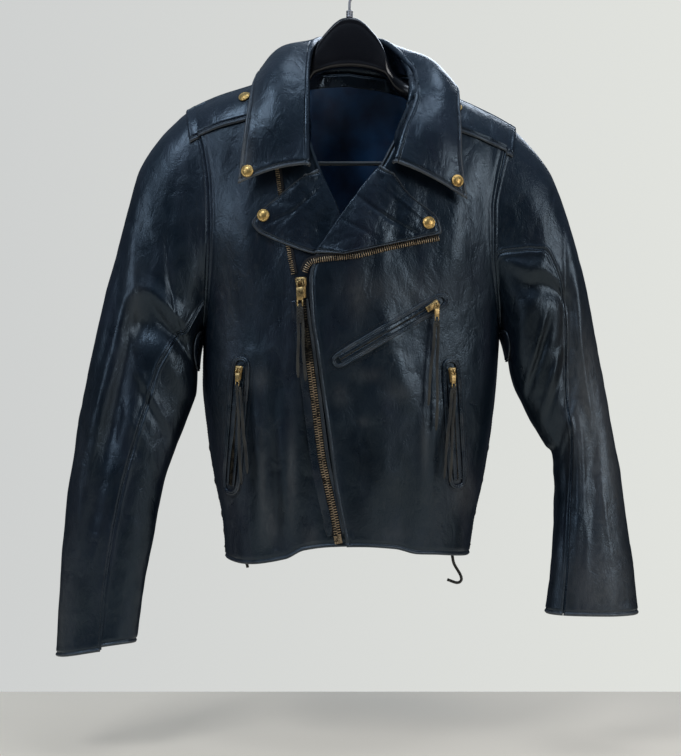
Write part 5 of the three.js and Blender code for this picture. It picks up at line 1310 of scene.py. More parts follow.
def lapelPlace(side, u, v):
    # Between the roll edge and the outer edge, lifted off the front and arched.
    row = {k: f(np.clip(v, 0, 1)) for k, f in lapelOf[side].items()}
    u = np.clip(u, 0, 1)
    x, z = mix(row["rollX"], row["outX"], u), mix(row["rollZ"], row["outZ"], u)
    place, up = frontFrame(side, x, z)
    lift = mix(lapelShape["lift"], row["edge"], ease(u)) + row["arch"] * np.sin(np.pi * u)
    return place + up * lift[..., None]


lapelCreases = {
    "left": [(-60, -318, 46, 3.0, -0.7, 0.9), (-84, -332, 40, 2.6, -0.6, 0.5)],
    "right": [(30, -322, 60, 3.4, -1.0, 0.75), (56, -338, 52, 2.8, -0.8, 0.6),
              (70, -318, 34, 3.0, 0.7, 0.8), (10, -345, 40, 2.6, -0.7, 0.55)],
}


def lapelRelief(side):
    # Fine pebbling, and a few long creases: x, z, length, width, depth, slope.
    def relief(grid):
        x, z = grid[..., 0], grid[..., 2]
        total = 0.22 * noise(grid, 5.5, 51) + 0.3 * noise(grid, 12, 52)
        for cx, cz, length, width, depth, slope in lapelCreases[side]:
            across = ((z - cz) + slope * signOf[side] * (x - cx)) / width
            total = total + depth * np.exp(-across**2 - ((x - cx) / (length / 2)) ** 2)
        return total
    return relief


for side in ("left", "right"):
    u, v = np.meshgrid(edged(lapelShape["columns"], 80, ends=(False, True)),
                       edged(lapelShape["rows"], 120))
    base = lapelPlace(side, u, v)
    flip = -signOf[side]
    top = base + gridNormals(base, flip) * lapelShape["thick"]
    normal, tangent = gridNormals(top, flip)[:, :1], unit(top[:, 2:3] - top[:, :1])
    angle = np.radians(np.linspace(lapelShape["rollTurn"], 0, lapelShape["rollColumns"] + 1)[:-1])
    angle = angle[None, :, None]
    rolled = top[:, :1] - lapelShape["rollRadius"] * (
        normal * (1 - np.cos(angle)) + tangent * np.sin(angle))
    grid = np.concatenate([rolled, top], axis=1)
    leatherPanel(f"lapel_{side}_leaf", [f"lapel_{side}"], grid, flip, {
        "material": trimLeather, "thick": 1.4, "crease": 0.5, "seed": 43 + signOf[side], "rim": 0.6,
        "edges": {"u1": "bead", "v0": "bead", "v1": "bead"}, "held": "folded",
        "extra": lapelRelief(side),
        "stitches": [("u1", 5.0, 5), ("v0", 5.0, 12), ("v1", 5.0, 12)],
    })
print("lapels ready")

# Shoulder straps: where the neck end is, its back edge's angle, its front edge's at both
# ends, reach on the sleeve
strapTable = {"left": (111, 20, 97, 92, 0.052), "right": (116, 20, 98, 88, 0.05)}
strapShape = {"lift": 1.3, "thick": 1.6, "rows": int(90 * detail), "columns": int(56 * detail)}


def strapPlace(side, u, v):
    # Round the shoulder's curve from the back edge to the front one, then on over the sleeve.
    neckX, back, frontAtNeck, frontAtEnd, past = strapTable[side]
    angle = mix(back, mix(frontAtNeck, frontAtEnd, np.clip(v, 0, 1)), np.clip(u, 0, 1))
    drop = shape["shoulderRound"] * (1 - np.cos(np.radians(angle)))
    top = armholeRows[side][0][0]
    end = armholeOf[side](top - drop)
    x = signOf[side] * mix(neckX, end, np.clip(v / 0.8, 0, 1))
    z = ridgeZ(x) - drop
    flat = xyz(x, -faceDepth("front", x, z), z)
    aroundArmhole = np.degrees(np.arccos(np.clip(1 - 2 * drop / (top - shape["armpitZ"]), -1, 1)))
    over = sleevePlace(side, aroundArmhole, np.clip((v - 0.8) / 0.2, 0, 1) * past)
    return np.where((v > 0.8)[..., None], over, flat)


for side in ("left", "right"):
    u, v = np.meshgrid(edged(strapShape["columns"], 60), edged(strapShape["rows"], 95))
    base = strapPlace(side, u, v)
    grid = base + gridNormals(base, signOf[side]) * (strapShape["lift"] + strapShape["thick"])
    leatherPanel(f"epaulet_{side}_strap", [f"epaulet_{side}"], grid, signOf[side], {
        "material": trimLeather, "thick": strapShape["thick"], "crease": 0.45, "rim": 0.55,
        "edges": {"u0": "bead", "u1": "bead", "v0": "bead", "v1": "seam"}, "held": "laid",
        "seed": 47 + signOf[side],
        "stitches": [("u0", 5.0, 4), ("u1", 5.0, 4), ("v0", 5.0, 4)],
    })
print("straps ready")

snapShape = {"radius": 7.6, "height": 3.0, "gap": 0.5, "sides": 48}
# radius share and height share of the cap's profile: a rolled rim, a groove and a low dome
snapProfile = [(0.9, 0), (0.97, 0.06), (1.0, 0.2), (0.98, 0.38), (0.93, 0.5), (0.87, 0.54),
               (0.82, 0.5), (0.78, 0.47), (0.74, 0.5), (0.68, 0.62), (0.56, 0.78), (0.42, 0.89),
               (0.26, 0.96), (0.12, 0.99), (0.0, 1.0)]


def spotOn(surface, u, v, outward, lift):
    # A place on a surface of (u, v), lifted along its normal.
    step = 0.004
    at = lambda du, dv: surface(np.array([[u + du]]), np.array([[v + dv]]))[0, 0]
    up = unit(np.cross(at(step, 0) - at(-step, 0), at(0, step) - at(0, -step))) * outward
    return at(0, 0) + up * lift, up


def collarLeafPlace(u, v):
    # The collar's leaf from its fold (u 0) to its free edge (u 1), at v along the collar.
    leaf = collarGrid(v.ravel(), 2, 4, 5)[:, -6:]
    t = np.clip(u.ravel(), 0, 1) * 5
    i = np.minimum(t.astype(int), 4)
    row = np.arange(len(leaf))
    return mix(leaf[row, i], leaf[row, i + 1], (t - i)[:, None]).reshape(*u.shape, 3)


snapSpots = {
    "snap_collar_left": (collarLeafPlace, 0.86, 0.022, -1, 2.5),
    "snap_collar_right": (collarLeafPlace, 0.86, 0.972, -1, 2.5),
    "snap_lapel_left": (lambda u, v: lapelPlace("left", u, v), 0.87, 0.46, 1, 1.6),
    "snap_lapel_right": (lambda u, v: lapelPlace("right", u, v), 0.86, 0.49, -1, 1.6),
    "snap_epaulet_left": (lambda u, v: strapPlace("left", u, v), 0.46, 0.18, -1, 2.9),
    "snap_epaulet_right": (lambda u, v: strapPlace("right", u, v), 0.46, 0.14, 1, 2.9),
}
for name, (surface, u, v, outward, lift) in snapSpots.items():
    place, up = spotOn(surface, u, v, outward, lift + snapShape["gap"])
    across = unit(np.cross(up, [0.3, 0.1, 0.9]))
    beside = np.cross(up, across)
    turn = np.arange(snapShape["sides"]) / snapShape["sides"] * 2 * np.pi
    ring = across * np.cos(turn)[:, None] + beside * np.sin(turn)[:, None]
    profile = np.array(snapProfile)
    rings = (place + ring[None] * profile[:, 0, None, None] * snapShape["radius"]
             + up * profile[:, 1, None, None] * snapShape["height"])
    quads = gridQuads(len(profile), snapShape["sides"], flip=False, wrap=True)
    base = np.arange(1, snapShape["sides"] - 1)
    floor = np.stack([0 * base, base + 1, base], axis=1)
    addPiece(name + "_cap", (rings, quads, floor), snapBrass, [name])
print("snaps ready")

# Lines as (x, z) places on a front; "middle" is the surface with no overlap step.
zipLines = {
    "main": ("middle", [(-58, -429.9), (-55, -455), (-50.8, -484), (-43, -543), (-33.7, -618),
                        (-24.2, -664), (-19.4, -685), (-14.8, -711)]),
    "left_tape": ("left", [(-68, -399), (-71, -383), (-75, -360), (-81, -322), (-86.6, -280),
                           (-90.5, -252)]),
    "right_tape": ("right", [(-53.5, -397), (-50.5, -389.5), (-45, -385), (-32, -382.5),
                             (-8, -380), (12, -377.4), (42, -369.4), (74, -362), (106, -356)]),
}
# slot: two ends, open width, lip width, place of the slider along it
pocketTable = {
    "left_pocket": ("left", (-132, -508), (-145, -656), 12.5, 6.0, 9),
    "right_pocket": ("right", (121.5, -510), (130.5, -648), 12.0, 6.0, 9),
    "chest_pocket": ("right", (108.5, -431), (-13, -502.5), 9.5, 5.2, 12),
}
teethShape = {"mainWidth": 8.6, "mainPitch": 1.5, "openPitch": 2.5, "pocketWidth": 5.4,
              "pocketPitch": 1.15, "height": 2.0, "overlap": 0.16, "share": 0.66,
              "openThick": 0.95, "openHeight": 2.4}


def layOn(side, line, count, lift):
    # Stations along a line on a front: place, along, across and up.
    flat = smoothPath(line, count)
    place, up = frontFrame(side, flat[:, 0], flat[:, 1])
    place = place + up * lift
    along = np.gradient(place, axis=0)
    along = unit(along - up * (along * up).sum(-1, keepdims=True))
    return place, along, np.cross(up, along), up


def blockTemplate(xs, widths, heights):
    # A tooth: rounded four-sided rings across the chain, capped at both ends.
    rings = []
    for x, width, (low, high) in zip(xs, widths, heights):
        w = width / 2
        c = min(w, (high - low) / 2) * 0.35
        rings.append([(x, -w, low + c), (x, -w + c, low), (x, w - c, low), (x, w, low + c),
                      (x, w, high - c), (x, w - c, high), (x, -w + c, high), (x, -w, high - c)])
    points = np.array(rings, float)
    return points.reshape(-1, 3), gridQuads(len(xs), 8, wrap=True), capFans(len(xs), 8)


def copies(template, place, across, along, up):
    # The template set down at every station, its x across, y along and z up.
    points, quads, triangles = template
    count, size = len(place), len(points)
    basis = np.stack([across, along, up], axis=1)
    laid = place[:, None] + np.einsum("kc,ncd->nkd", points, basis)
    shift = (np.arange(count) * size)[:, None, None]
    return (laid.reshape(-1, 3), (quads[None] + shift).reshape(-1, 4),
            (triangles[None] + shift).reshape(-1, 3))


def toothAt(start, end, width, height):
    # From its foot in the tape to its rounded head: start and end are places across.
    span = end - start
    xs = start + span * np.array([0, 0.08, 0.62, 0.86, 1.0])
    w = width * np.array([0.8, 1.0, 1.0, 0.96, 0.6])
    top = height * np.array([0.55, 0.8, 1.0, 0.94, 0.62])
    return blockTemplate(xs, w, [(0.1, t) for t in top])


def closedChain(name, side, line, width, pitch, lift, height, metal, nodes=()):
    # Two rows of teeth, one from each tape, that mesh in the middle.
    count = max(8, int(lengthOf(np.array(line, float)) / pitch))
    place, along, across, up = layOn(side, line, count, lift)
    half, thick = width / 2, pitch * teethShape["share"]
    left = toothAt(-half, half * teethShape["overlap"], thick, height)
    right = toothAt(half, -half * teethShape["overlap"], thick, height)
    parts = [copies(left, place[::2], across[::2], along[::2], up[::2]),
             copies(right, place[1::2], across[1::2], along[1::2], up[1::2])]
    addPiece(name, joined(parts), metal, nodes, smooth=False)


def tapeStrip(name, side, line, width, thick, lift, nodes=()):
    # A flat strip of zip tape along a line on a front.
    place, along, across, up = layOn(side, line, 90, lift + thick / 2)
    addPiece(name, sweep(place, across, up, roundSection(width, thick, 20)), zipTape, nodes)


side, line = zipLines["main"]
tapeStrip("main_tape_cloth", side, line, 17, 0.8, -0.2, ["main_tape"])
# Under its pull the chain is painted dark, a painted shade; below it the teeth are plain brass.
chainRows = smoothPath(line, 200)
for name, rows, metal in (("main_chain_teeth", chainRows[52:], toothBrass),
                          ("main_chain_top", chainRows[:53], darkTooth)):
    closedChain(name, side, rows, teethShape["mainWidth"], teethShape["mainPitch"], 0.8,
                teethShape["height"] + 0.2, metal, ["main_teeth"])
for name, inward, width in (("left_tape", 1, 5.2), ("right_tape", -1, 6.6)):
    side, line = zipLines[name]
    count = int(lengthOf(np.array(line, float)) / teethShape["openPitch"])
    place, along, across, up = layOn(side, line, count, 0.6 if side == "left" else 0.8)
    tooth = toothAt(-width / 2 * inward, width / 2 * inward, teethShape["openThick"],
                    teethShape["openHeight"])
    addPiece(f"{name}_row", copies(tooth, place, across, along, up), toothBrass, [f"{name}_teeth"],
             smooth=False)
    # The cord along the teeth's feet, and the tape that they are clamped to.
    place, along, across, up = layOn(side, line, 120, 1.2)
    beside = place - across * inward * (width / 2 + 1.2)
    addPiece(f"{name}_cord", sweep(beside, across, up, roundSection(3.4, 1.8, 12)), zipTape)


def weltSection(width, height):
    # A flat foot and a padded top, with the groove of its stitching down the middle.
    a = np.linspace(1, -1, 15)
    top = height * np.sqrt(np.clip(1 - np.abs(a) ** 3.4, 0, 1))
    top = top - 0.55 * bump(a * width / 2, 0, 0.55)
    x = np.concatenate([[width / 2 - 0.2], a * width / 2, [-width / 2 + 0.2]])
    y = np.concatenate([[-1.0], top, [-1.0]])
    return np.stack([x, y], axis=1)[::-1]


def oblong(spot, length, end, corner, reach):
    # Control points of a long ring round a slot: cut corners, and straight between them.
    stops = np.linspace(0.12, 0.88, 6) * length
    return ([spot(-end, -corner)] + [spot(d, -reach) for d in stops]
            + [spot(length + end, -corner), spot(length + end, corner)]
            + [spot(d, reach) for d in stops[::-1]] + [spot(-end, corner)])


pocketStitch = {"end": 5.5, "corner": 2, "beside": 6.2}
for name, (side, top, foot, slot, lip, _) in pocketTable.items():
    top, foot = np.array(top, float), np.array(foot, float)
    length = float(np.linalg.norm(foot - top))
    run = (foot - top) / length
    beside = np.array([-run[1], run[0]])
    spot = lambda along, across: top + run * along + beside * across
    reach = (slot + lip) / 2
    end, corner = reach * 0.55, reach * 0.72
    flat = closedPath(oblong(spot, length, end, corner, reach), int(220 * max(detail, 0.6)))
    place, up = frontFrame(side, flat[:, 0], flat[:, 1])
    place = place + up * 0.8
    along = np.roll(place, -1, axis=0) - np.roll(place, 1, axis=0)
    along = unit(along - up * (along * up).sum(-1, keepdims=True))
    across = np.cross(up, along)
    ripple = 0.18 * noise(place, 9, 61)[:, None]
    profile = np.repeat(weltSection(lip, 2.0)[None], len(place), axis=0)
    profile[..., 1] += ripple * (profile[..., 1] > 0)
    part = sweep(place, across, up, profile, closed=True)
    # The lips are lightened in patches towards the worn colour, as painted highlight.
    addPiece(f"{name}_welt_lip", part, trimLeather, [f"{name}_welt"],
             wearAndHighlight=0.16 + 0.34 * noise(part[0], 14, 62))
    around = np.r_[:len(place), 0]
    stitchRows.append(((place + up * 1.5)[around], up[around]))
    outer = closedPath(oblong(spot, length, end + pocketStitch["end"],
                              corner + pocketStitch["corner"],
                              reach + pocketStitch["beside"]), 220)
    ring, ringUp = frontFrame(side, outer[:, 0], outer[:, 1])
    around = np.r_[:len(ring), 0]
    stitchRows.append(((ring + ringUp * 0.3)[around], ringUp[around]))
    line = [spot(t * length, 0) for t in (0.01, 0.25, 0.5, 0.75, 0.99)]
    tapeStrip(f"{name}_tape_cloth", side, line, slot + 1.0, 0.5, 0.25)
    closedChain(f"{name}_chain", side, line, teethShape["pocketWidth"],
                teethShape["pocketPitch"], 0.6, teethShape["height"],
                darkTooth, [f"{name}_teeth"])
    # Two padded lips close over the chain; the left pocket's part again towards the foot.
    place, along, across, up = layOn(side, line, 110, 0.0)
    t = np.linspace(0, 1, len(place))[:, None]
    inner = 0.45 + (2.6 * ease((t - 0.5) / 0.35) if name == "left_pocket" else 0 * t)
    inner = inner * ease((1.04 - t) / 0.06) + 0.2 * noise(place, 22, 63)[:, None]
    outerReach = slot / 2 + 0.3
    parts = []
    for way in (-1, 1):
        middle = place + across * way * (inner + outerReach) / 2 + up * 1.6
        profile = roundSection(1.0, 2.5, 16)[None] * np.ones((len(place), 1, 1))
        profile[..., 0] *= outerReach - inner
        profile[..., 1] += 0.25 * noise(middle, 11, 64)[:, None] * (profile[..., 1] > 0)
        parts.append(sweep(middle, across, up, profile))
    part = joined(parts)
    addPiece(f"{name}_inner_lips", part, trimLeather, wearAndHighlight=0.04 + 0.2 * noise(part[0], 17, 65))

# A piping in each armhole seam, sunk between the body and the sleeve.
armholePiping = {"diameter": 4.6, "sunk": 1.7, "inward": 0.9, "stations": 200}
for side in ("left", "right"):
    ring = armholeLine(side, np.linspace(0, 360, armholePiping["stations"], endpoint=False))
    middle = ring.mean(axis=0)
    ahead = unit(np.roll(ring, -1, axis=0) - np.roll(ring, 1, axis=0))
    inward = middle - ring
    inward[:, 0] = 0
    inward = unit(inward - ahead * (inward * ahead).sum(-1, keepdims=True))
    ring = ring + inward * armholePiping["sunk"]
    ring[:, 0] -= signOf[side] * armholePiping["inward"]
    profile = roundSection(armholePiping["diameter"], armholePiping["diameter"], 14)
    addPiece(f"armhole_{side}_piping",
             sweep(ring, np.cross(inward, ahead), inward, profile, closed=True), trimLeather)

# A cord inside each sleeve seam, where the two panels meet.
sleeveCord = {"diameter": 3.4, "sunk": 2.0, "stations": 150}
for side in ("left", "right"):
    at = np.linspace(0.01, 0.996, sleeveCord["stations"])
    parts = []
    for angle in (ringOf[side]["seam"](at), shape["backSeamAngle"] + 0 * at):
        place = sleevePlace(side, angle, at)
        inward = unit(sleevePlace(side, angle + 180, at) - place)
        ahead, across, above = pathFrames(place + inward * sleeveCord["sunk"], inward)
        profile = roundSection(sleeveCord["diameter"], sleeveCord["diameter"], 10)
        parts.append(sweep(place + inward * sleeveCord["sunk"], across, above, profile))
    addPiece(f"sleeve_{side}_seam_cord", joined(parts), trimLeather)

# The padded strips on either side of the closed chain.
side, line = zipLines["main"]
place, along, across, up = layOn(side, line, 160, 0.0)
ends = ease(np.linspace(0, 12, 160))[:, None] * ease(np.linspace(24, 0, 160))[:, None]
for name, offset, width, thick in (("left_zip_strip", -9.6, 9.4, 1.7),
                                   ("right_zip_strip", 7.0, 4.2, 3.2)):
    middle = place + across * (offset + 0.5 * noise(place, 40, 66)[:, None]) + up * 0.9
    profile = roundSection(width, thick, 18)[None] * (0.6 + 0.4 * ends[..., None])
    dent = 0.5 * bump(np.abs(profile[..., 0]), width / 2 - 1.5, 0.5) if offset < 0 else 0
    profile[..., 1] -= dent * (profile[..., 1] > 0)
    part = sweep(middle, across, up, profile)
    addPiece(name, part, trimLeather,
             wearAndHighlight=(0.0 if offset < 0 else 0.22) + 0.25 * noise(part[0], 16, 67))
    if offset < 0:
        stitchRows.append((middle - across * (width / 2 - 1.5) + up * 0.55, up))
print("zips ready")

# Sliders, tabs and their knots, at full size; each pull scales them. The outlines run along
# the zip: (place along, width, thickness).
sliderRows = [(6.0, 8.6, 2.2), (5.7, 11.4, 3.2), (4.8, 13.0, 4.0), (2.5, 12.6, 4.5),
              (-3.0, 11.0, 4.6), (-8.0, 9.6, 4.5), (-18.5, 9.0, 4.2), (-19.6, 8.2, 3.4),
              (-20.0, 6.4, 2.2)]
plateRows = [(5.4, 10.0, 0.8), (4.6, 14.4, 1.3), (-3.0, 12.6, 1.4), (-9.0, 10.6, 1.4),
             (-19.0, 9.8, 1.3), (-19.6, 8.8, 0.8)]
tabPlate = [(-6.2, 8.4, 1.2), (-6.8, 9.0, 1.8), (-12.0, 9.2, 1.8), (-16.0, 8.4, 1.8),
            (-21.4, 7.8, 1.8), (-22.0, 7.6, 1.2)]
tabFoot = [(-27.0, 7.4, 1.2), (-27.4, 7.6, 1.8), (-29.2, 7.2, 1.8), (-30.0, 5.6, 1.2)]
# The tab's two side bars in the ring's window and in the loop: place across, ends, thickness.
sideBars = [(3.3, [(-0.6, 0, 1.6), (-7.0, 0, 1.7)]), (3.05, [(-21.6, 0, 1.6), (-27.4, 0, 1.6)])]
tabTop = [(1.0, 6.4, 1.2), (0.7, 7.8, 1.8), (-0.9, 8.0, 1.8), (-1.2, 7.8, 1.4)]
sliderShape = {"axisAt": 6.0, "thick": 4.6, "bar": 1.0, "clear": 0.9}
bridgeShape = {"reach": 2.45, "width": 3.0, "thick": 1.4}
# Plaits of the thongs: (length, size, how far under the tab's axis, stations).
knotTable = {"main": (22.0, 1.0, 26.4, 60), "pocket": (8.0, 0.8, 27.2, 30)}
knotShape = {"pitch": 12.0, "width": 1.9, "depth": 1.0, "strand": (2.6, 1.5)}


def barRun(rows, x=0.0, base=0.0, width=None):
    # Rounded cross-sections stacked along z, each standing on `base`.
    rows = np.array(rows, float)
    widths = rows[:, 1] if width is None else np.full(len(rows), width)
    path = xyz(x + 0 * rows[:, 0], base + rows[:, 2] / 2, rows[:, 0])
    profile = np.stack([roundSection(w, t, 20) for w, t in zip(widths, rows[:, 2])])
    across = np.tile([1.0, 0, 0], (len(rows), 1))
    out = np.tile([0, 1.0, 0], (len(rows), 1))
    return sweep(path, across, out, profile)


def inPlace(part, origin, across, out, along, size):
    # A part drawn at full size, set down at its origin and turned to three directions.
    points, quads, triangles = part
    placed = origin + size * (points[:, :1] * across + points[:, 1:2] * out + points[:, 2:] * along)
    return placed, quads, triangles


def pullSeat(name):
    # How a slider sits on its zip: its outward normal and the zip's direction.
    if name == "main":
        side, x, z, along = "middle", -59.0, -403.0, np.array([-0.07, 0, 1.0])
    else:
        side, top, foot, _, _, at = pocketTable[name]
        top, foot = np.array(top, float), np.array(foot, float)
        run = (foot - top) / np.linalg.norm(foot - top)
        x, z = top + run * (at - sliderShape["axisAt"] * pullTable[name]["size"])
        along = np.array([-run[0], 0, -run[1]])
    up = frontFrame(side, np.array([x]), np.array([z]))[1][0]
    return up, unit(along - up * (along @ up))


for name, pull in pullTable.items():
    up, along = pullSeat(name)
    pivot, level, size = np.array(pull["pivot"]), np.array(pull["level"]), pull["size"]
    # The slider stands where its tab's axis says, so the seat is taken back from that.
    seat = pivot - up * (sliderShape["thick"] + sliderShape["bar"] + sliderShape["clear"]) * size
    across = unit(np.cross(along, up))
    parts = [inPlace(barRun(sliderRows), seat, across, up, along, size),
             inPlace(barRun(plateRows), seat, across, up, along, size)]
    upright = unit(np.array([0, 0, 1.0]) - up * up[2])
    turn = np.radians(np.linspace(-40, 220, 30))[:, None]
    reach = bridgeShape["reach"] * size
    bow = pivot + reach * (upright * np.cos(turn) + up * np.sin(turn))
    ahead = -upright * np.sin(turn) + up * np.cos(turn)
    sideways = np.tile(unit(np.cross(upright, up)), (len(bow), 1))
    profile = roundSection(bridgeShape["width"] * size, bridgeShape["thick"] * size, 14)
    parts.append(sweep(bow, sideways, np.cross(ahead, sideways), profile))
    addPiece(f"{name}_slider_body", joined(parts), pullBrass, [f"{name}_slider"])

    forward = np.cross(level, -downward)
    runs = [barRun(tabPlate, base=-0.9), barRun(tabFoot, base=-0.9), barRun(tabTop, base=-0.9)]
    for x, rows in sideBars:
        runs += [barRun(rows, x=way * x, base=-0.85, width=1.7) for way in (-1, 1)]
    placed = [inPlace(part, pivot, level, forward, -downward, size) for part in runs]
    addPiece(f"{name}_tab_plate", joined(placed), pullBrass, [f"{name}_tab"], f"{name}_pull")

    # The thongs leave the tab as a short three-strand plait.
    length, knotSize, under, stations = knotTable["main" if name == "main" else "pocket"]
    t = np.linspace(0, 1, stations)
    taper = (0.55 + 0.45 * ease(t * 5)) * (0.7 + 0.3 * ease((1 - t) * 4))
    start = pivot + downward * under * size
    parts = []
    for strand in range(3):
        phase = 2 * np.pi * (t * length / knotShape["pitch"] + strand / 3)
        path = (start + downward * (t * length)[:, None]
                + level * (knotShape["width"] * taper * np.sin(phase))[:, None]
                + forward * (knotShape["depth"] * taper * np.sin(2 * phase) + 0.3)[:, None])
        path = start + (path - start) * np.array([knotSize, knotSize, 1])
        ahead, beside, above = pathFrames(path, forward)
        profile = roundSection(*np.array(knotShape["strand"]) * knotSize, 10)
        parts.append(sweep(path, beside, above, profile))
    addPiece(f"{name}_thong_knot", joined(parts), thongSuede, body=f"{name}_pull")
print("pulls ready")

# The laces cross between two rows of eyelets beside each side seam.
lacing = {"top": -592.0, "behind": 21.0, "crossings": 7, "reach": 8.0, "lift": 2.7}


def besideSeam(side, y, z, lift):
    # A place on the back panel near the side seam, moved straight out of it.
    power = 2 / shape["boxiness"]
    at = lambda depth: section[side](z) * np.sqrt(1 - (depth / section["back"](z)) ** power)
    slope = at(y + 0.5) - at(y - 0.5)
    out = unit(np.stack([np.ones_like(slope), -slope], axis=-1)) * lift
    return xyz(signOf[side] * (at(y) + out[..., 0]), y + out[..., 1], z)


eyelet = {"radius": 3.1, "wire": 1.0, "sides": 28}
for side in ("left", "right"):
    foot = (hemRows["back"][0 if side == "left" else -1][1]) + 10
    z = np.linspace(lacing["top"], foot, lacing["crossings"] + 1)
    parts = []
    for start in (-1, 1):
        turns = start * np.where(np.arange(len(z)) % 2, 1, -1)
        y = lacing["behind"] + turns * lacing["reach"]
        lift = lacing["lift"] + (0.9 if start < 0 else -0.3) * 0.5
        path = smoothPath(besideSeam(side, y, z, lift), 150)
        parts.append(braidedTube(path, laceShape["diameter"] / 2))
    addPiece(f"lace_{side}_braid", joined(parts), laceBraid, [f"lace_{side}"])
    rings = []
    for start in (-1, 1):
        y = lacing["behind"] + start * lacing["reach"] + 0 * z
        centre = besideSeam(side, y, z, 0.8)
        out = unit(besideSeam(side, y, z, 2.0) - centre)
        turn = np.linspace(0, 2 * np.pi, eyelet["sides"], endpoint=False)
        for middle, normal in zip(centre, out):
            a = unit(np.cross(normal, [0, 0, 1.0]))
            b = np.cross(normal, a)
            spoke = a * np.cos(turn)[:, None] + b * np.sin(turn)[:, None]
            tube = np.linspace(0, 2 * np.pi, 8, endpoint=False)[None, :, None]
            ring = middle + spoke[:, None] * (eyelet["radius"] + eyelet["wire"] * np.cos(tube)) + (
                normal * eyelet["wire"] * 0.7 * np.sin(tube))
            ids = gridQuads(len(turn) + 1, 8, wrap=True) % (len(turn) * 8)
            rings.append((ring.reshape(-1, 3), ids, np.zeros((0, 3), int)))
    addPiece(f"eyelets_{side}", joined(rings), hookSteel)
print("laces ready")

# Stretches of the back that are lined: shares of its width and height, gap and thickness.
liningSpans = {
    "back_lining": ((3 / 16, 13 / 16), (0.052 * share, share), 2.6, 1.0),
    "neck_facing": ((6 / 16, 10 / 16), (0.0066 * share, 0.05 * share), 0.9, 1.2),
}


def liningRelief(grid):
    # Slack satin: a few long soft folds that lean, with smaller ones across them.
    x, z = grid[..., 0], grid[..., 2]
    long = 1.1 * np.sin((x + 0.35 * z) / 13 + 1.6 * noise(grid, 60, 71))
    small = 0.7 * noise(grid * np.array([1, 1, 0.5]), 15, 72)
    creases = -0.9 * np.clip(ridged(grid * np.array([1, 1, 0.45]), 20, 73), 0, 1) ** 3
    return long + small + creases


for name, ((u0, u1), (v0, v1), gap, thick) in liningSpans.items():
    lined = name == "back_lining"
    u = mix(u0, u1, rimmed(int(90 * detail), 400, 0.8))
    v = mix(v0, v1, rimmed(int((100 if lined else 24) * detail), 330, 0.8))
    base = backGrid(u, v)
    grid = base - gridNormals(base, 1) * (shape["wall"] + gap)
    relief = liningRelief(grid) + 0.4 if lined else 0.2 * noise(grid, 14, 74)
    piece = wallMesh(name + "_cloth", grid, thick, -1, relief)
    finishPiece(piece, liningSatin if lined else trimLeather, [name])
    declareSheet(grid)
print("lining ready")

# Hanger moulding: across, top, bottom, half thickness, how round the outline is
hangerRows = [
    (0, -70, -133, 10.5, 0.45), (9, -71.5, -133.5, 10.5, 0.45), (18, -77, -134.5, 10.5, 0.45),
    (27, -86, -136.5, 10.5, 0.5), (36, -97, -139.5, 10.5, 0.55), (44, -112, -143.5, 10, 0.65),
    (51, -130, -153, 7, 0.85), (57, -140.5, -161, 5.5, 0.95), (66, -147.5, -169, 7, 1),
    (80, -153.4, -180, 12, 1), (120, -171.6, -202, 16, 1), (160, -189.8, -218, 14, 1),
    (176, -199.3, -218, 8, 1),
]
hangerOf = columns(hangerRows, 0, {"top": 1, "bottom": 2, "half": 3, "box": 4})
hangerShape = {"end": 176.0, "rings": int(300 * detail), "sides": 48, "rim": 4.6, "dish": 1.3,
               "barHalf": 162.0, "barZ": -253.0, "barBend": 14.0, "barDiameter": 5.6}
x = np.linspace(-hangerShape["end"], hangerShape["end"], hangerShape["rings"])
x = np.concatenate([x[:1] + np.array([0, 0.15, 0.6, 1.2]), x[4:-4],
                    x[-1:] - np.array([1.2, 0.6, 0.15, 0])])
ring = {k: f(np.abs(x))[:, None] for k, f in hangerOf.items()}
turn = ((np.arange(hangerShape["sides"]) + 0.5) / hangerShape["sides"] * 2 * np.pi)[None]
boxed = lambda value: np.sign(value) * np.abs(value) ** ring["box"]
tall = (ring["top"] - ring["bottom"]) / 2
closing = np.minimum(1, 0.72 + 0.28 * np.sqrt(np.clip((hangerShape["end"] - np.abs(x)) / 2, 0, 1)))
y = ring["half"] * boxed(np.cos(turn)) * closing[:, None]
z = ring["top"] - tall + tall * boxed(np.sin(turn)) * closing[:, None]
# The moulding's face is dished inside a raised rim.
inRim = np.minimum(ring["top"] - z, z - ring["bottom"]) - hangerShape["rim"]
dish = hangerShape["dish"] * ease(inRim / 2.2) * ease((46 - np.abs(x)) / 8)[:, None]
y = y - np.sign(y) * dish
points = xyz(x[:, None] + 0 * y, y, z)
addPiece("hanger_moulding",
         (points, gridQuads(*y.shape, flip=True, wrap=True), capFans(*y.shape, flip=True)),
         hangerPlastic, ["hanger"])


def roundTube(path, radius, sides=20):
    # A plain round wire along a path in the plane of the hanger.
    along, across, up = pathFrames(path, (0, 1, 0))
    turn = (np.arange(sides) + 0.5) / sides * 2 * np.pi
    profile = np.stack([np.cos(turn), np.sin(turn)], axis=1) * radius
    return sweep(path, across, up, profile)


h = hangerShape
barTop = float(hangerOf["bottom"](h["barHalf"])) - 0.2
corner = lambda s: [(s * h["barHalf"], 0, barTop), (s * h["barHalf"], 0, h["barZ"] + h["barBend"]),
                    (s * (h["barHalf"] - 2.5), 0, h["barZ"] + 3.5),
                    (s * (h["barHalf"] - h["barBend"]), 0, h["barZ"])]
barPath = smoothPath(corner(-1) + corner(1)[::-1], 120)
addPiece("hanger_trouser_bar", roundTube(barPath, h["barDiameter"] / 2), barPlastic, ["hanger_bar"])

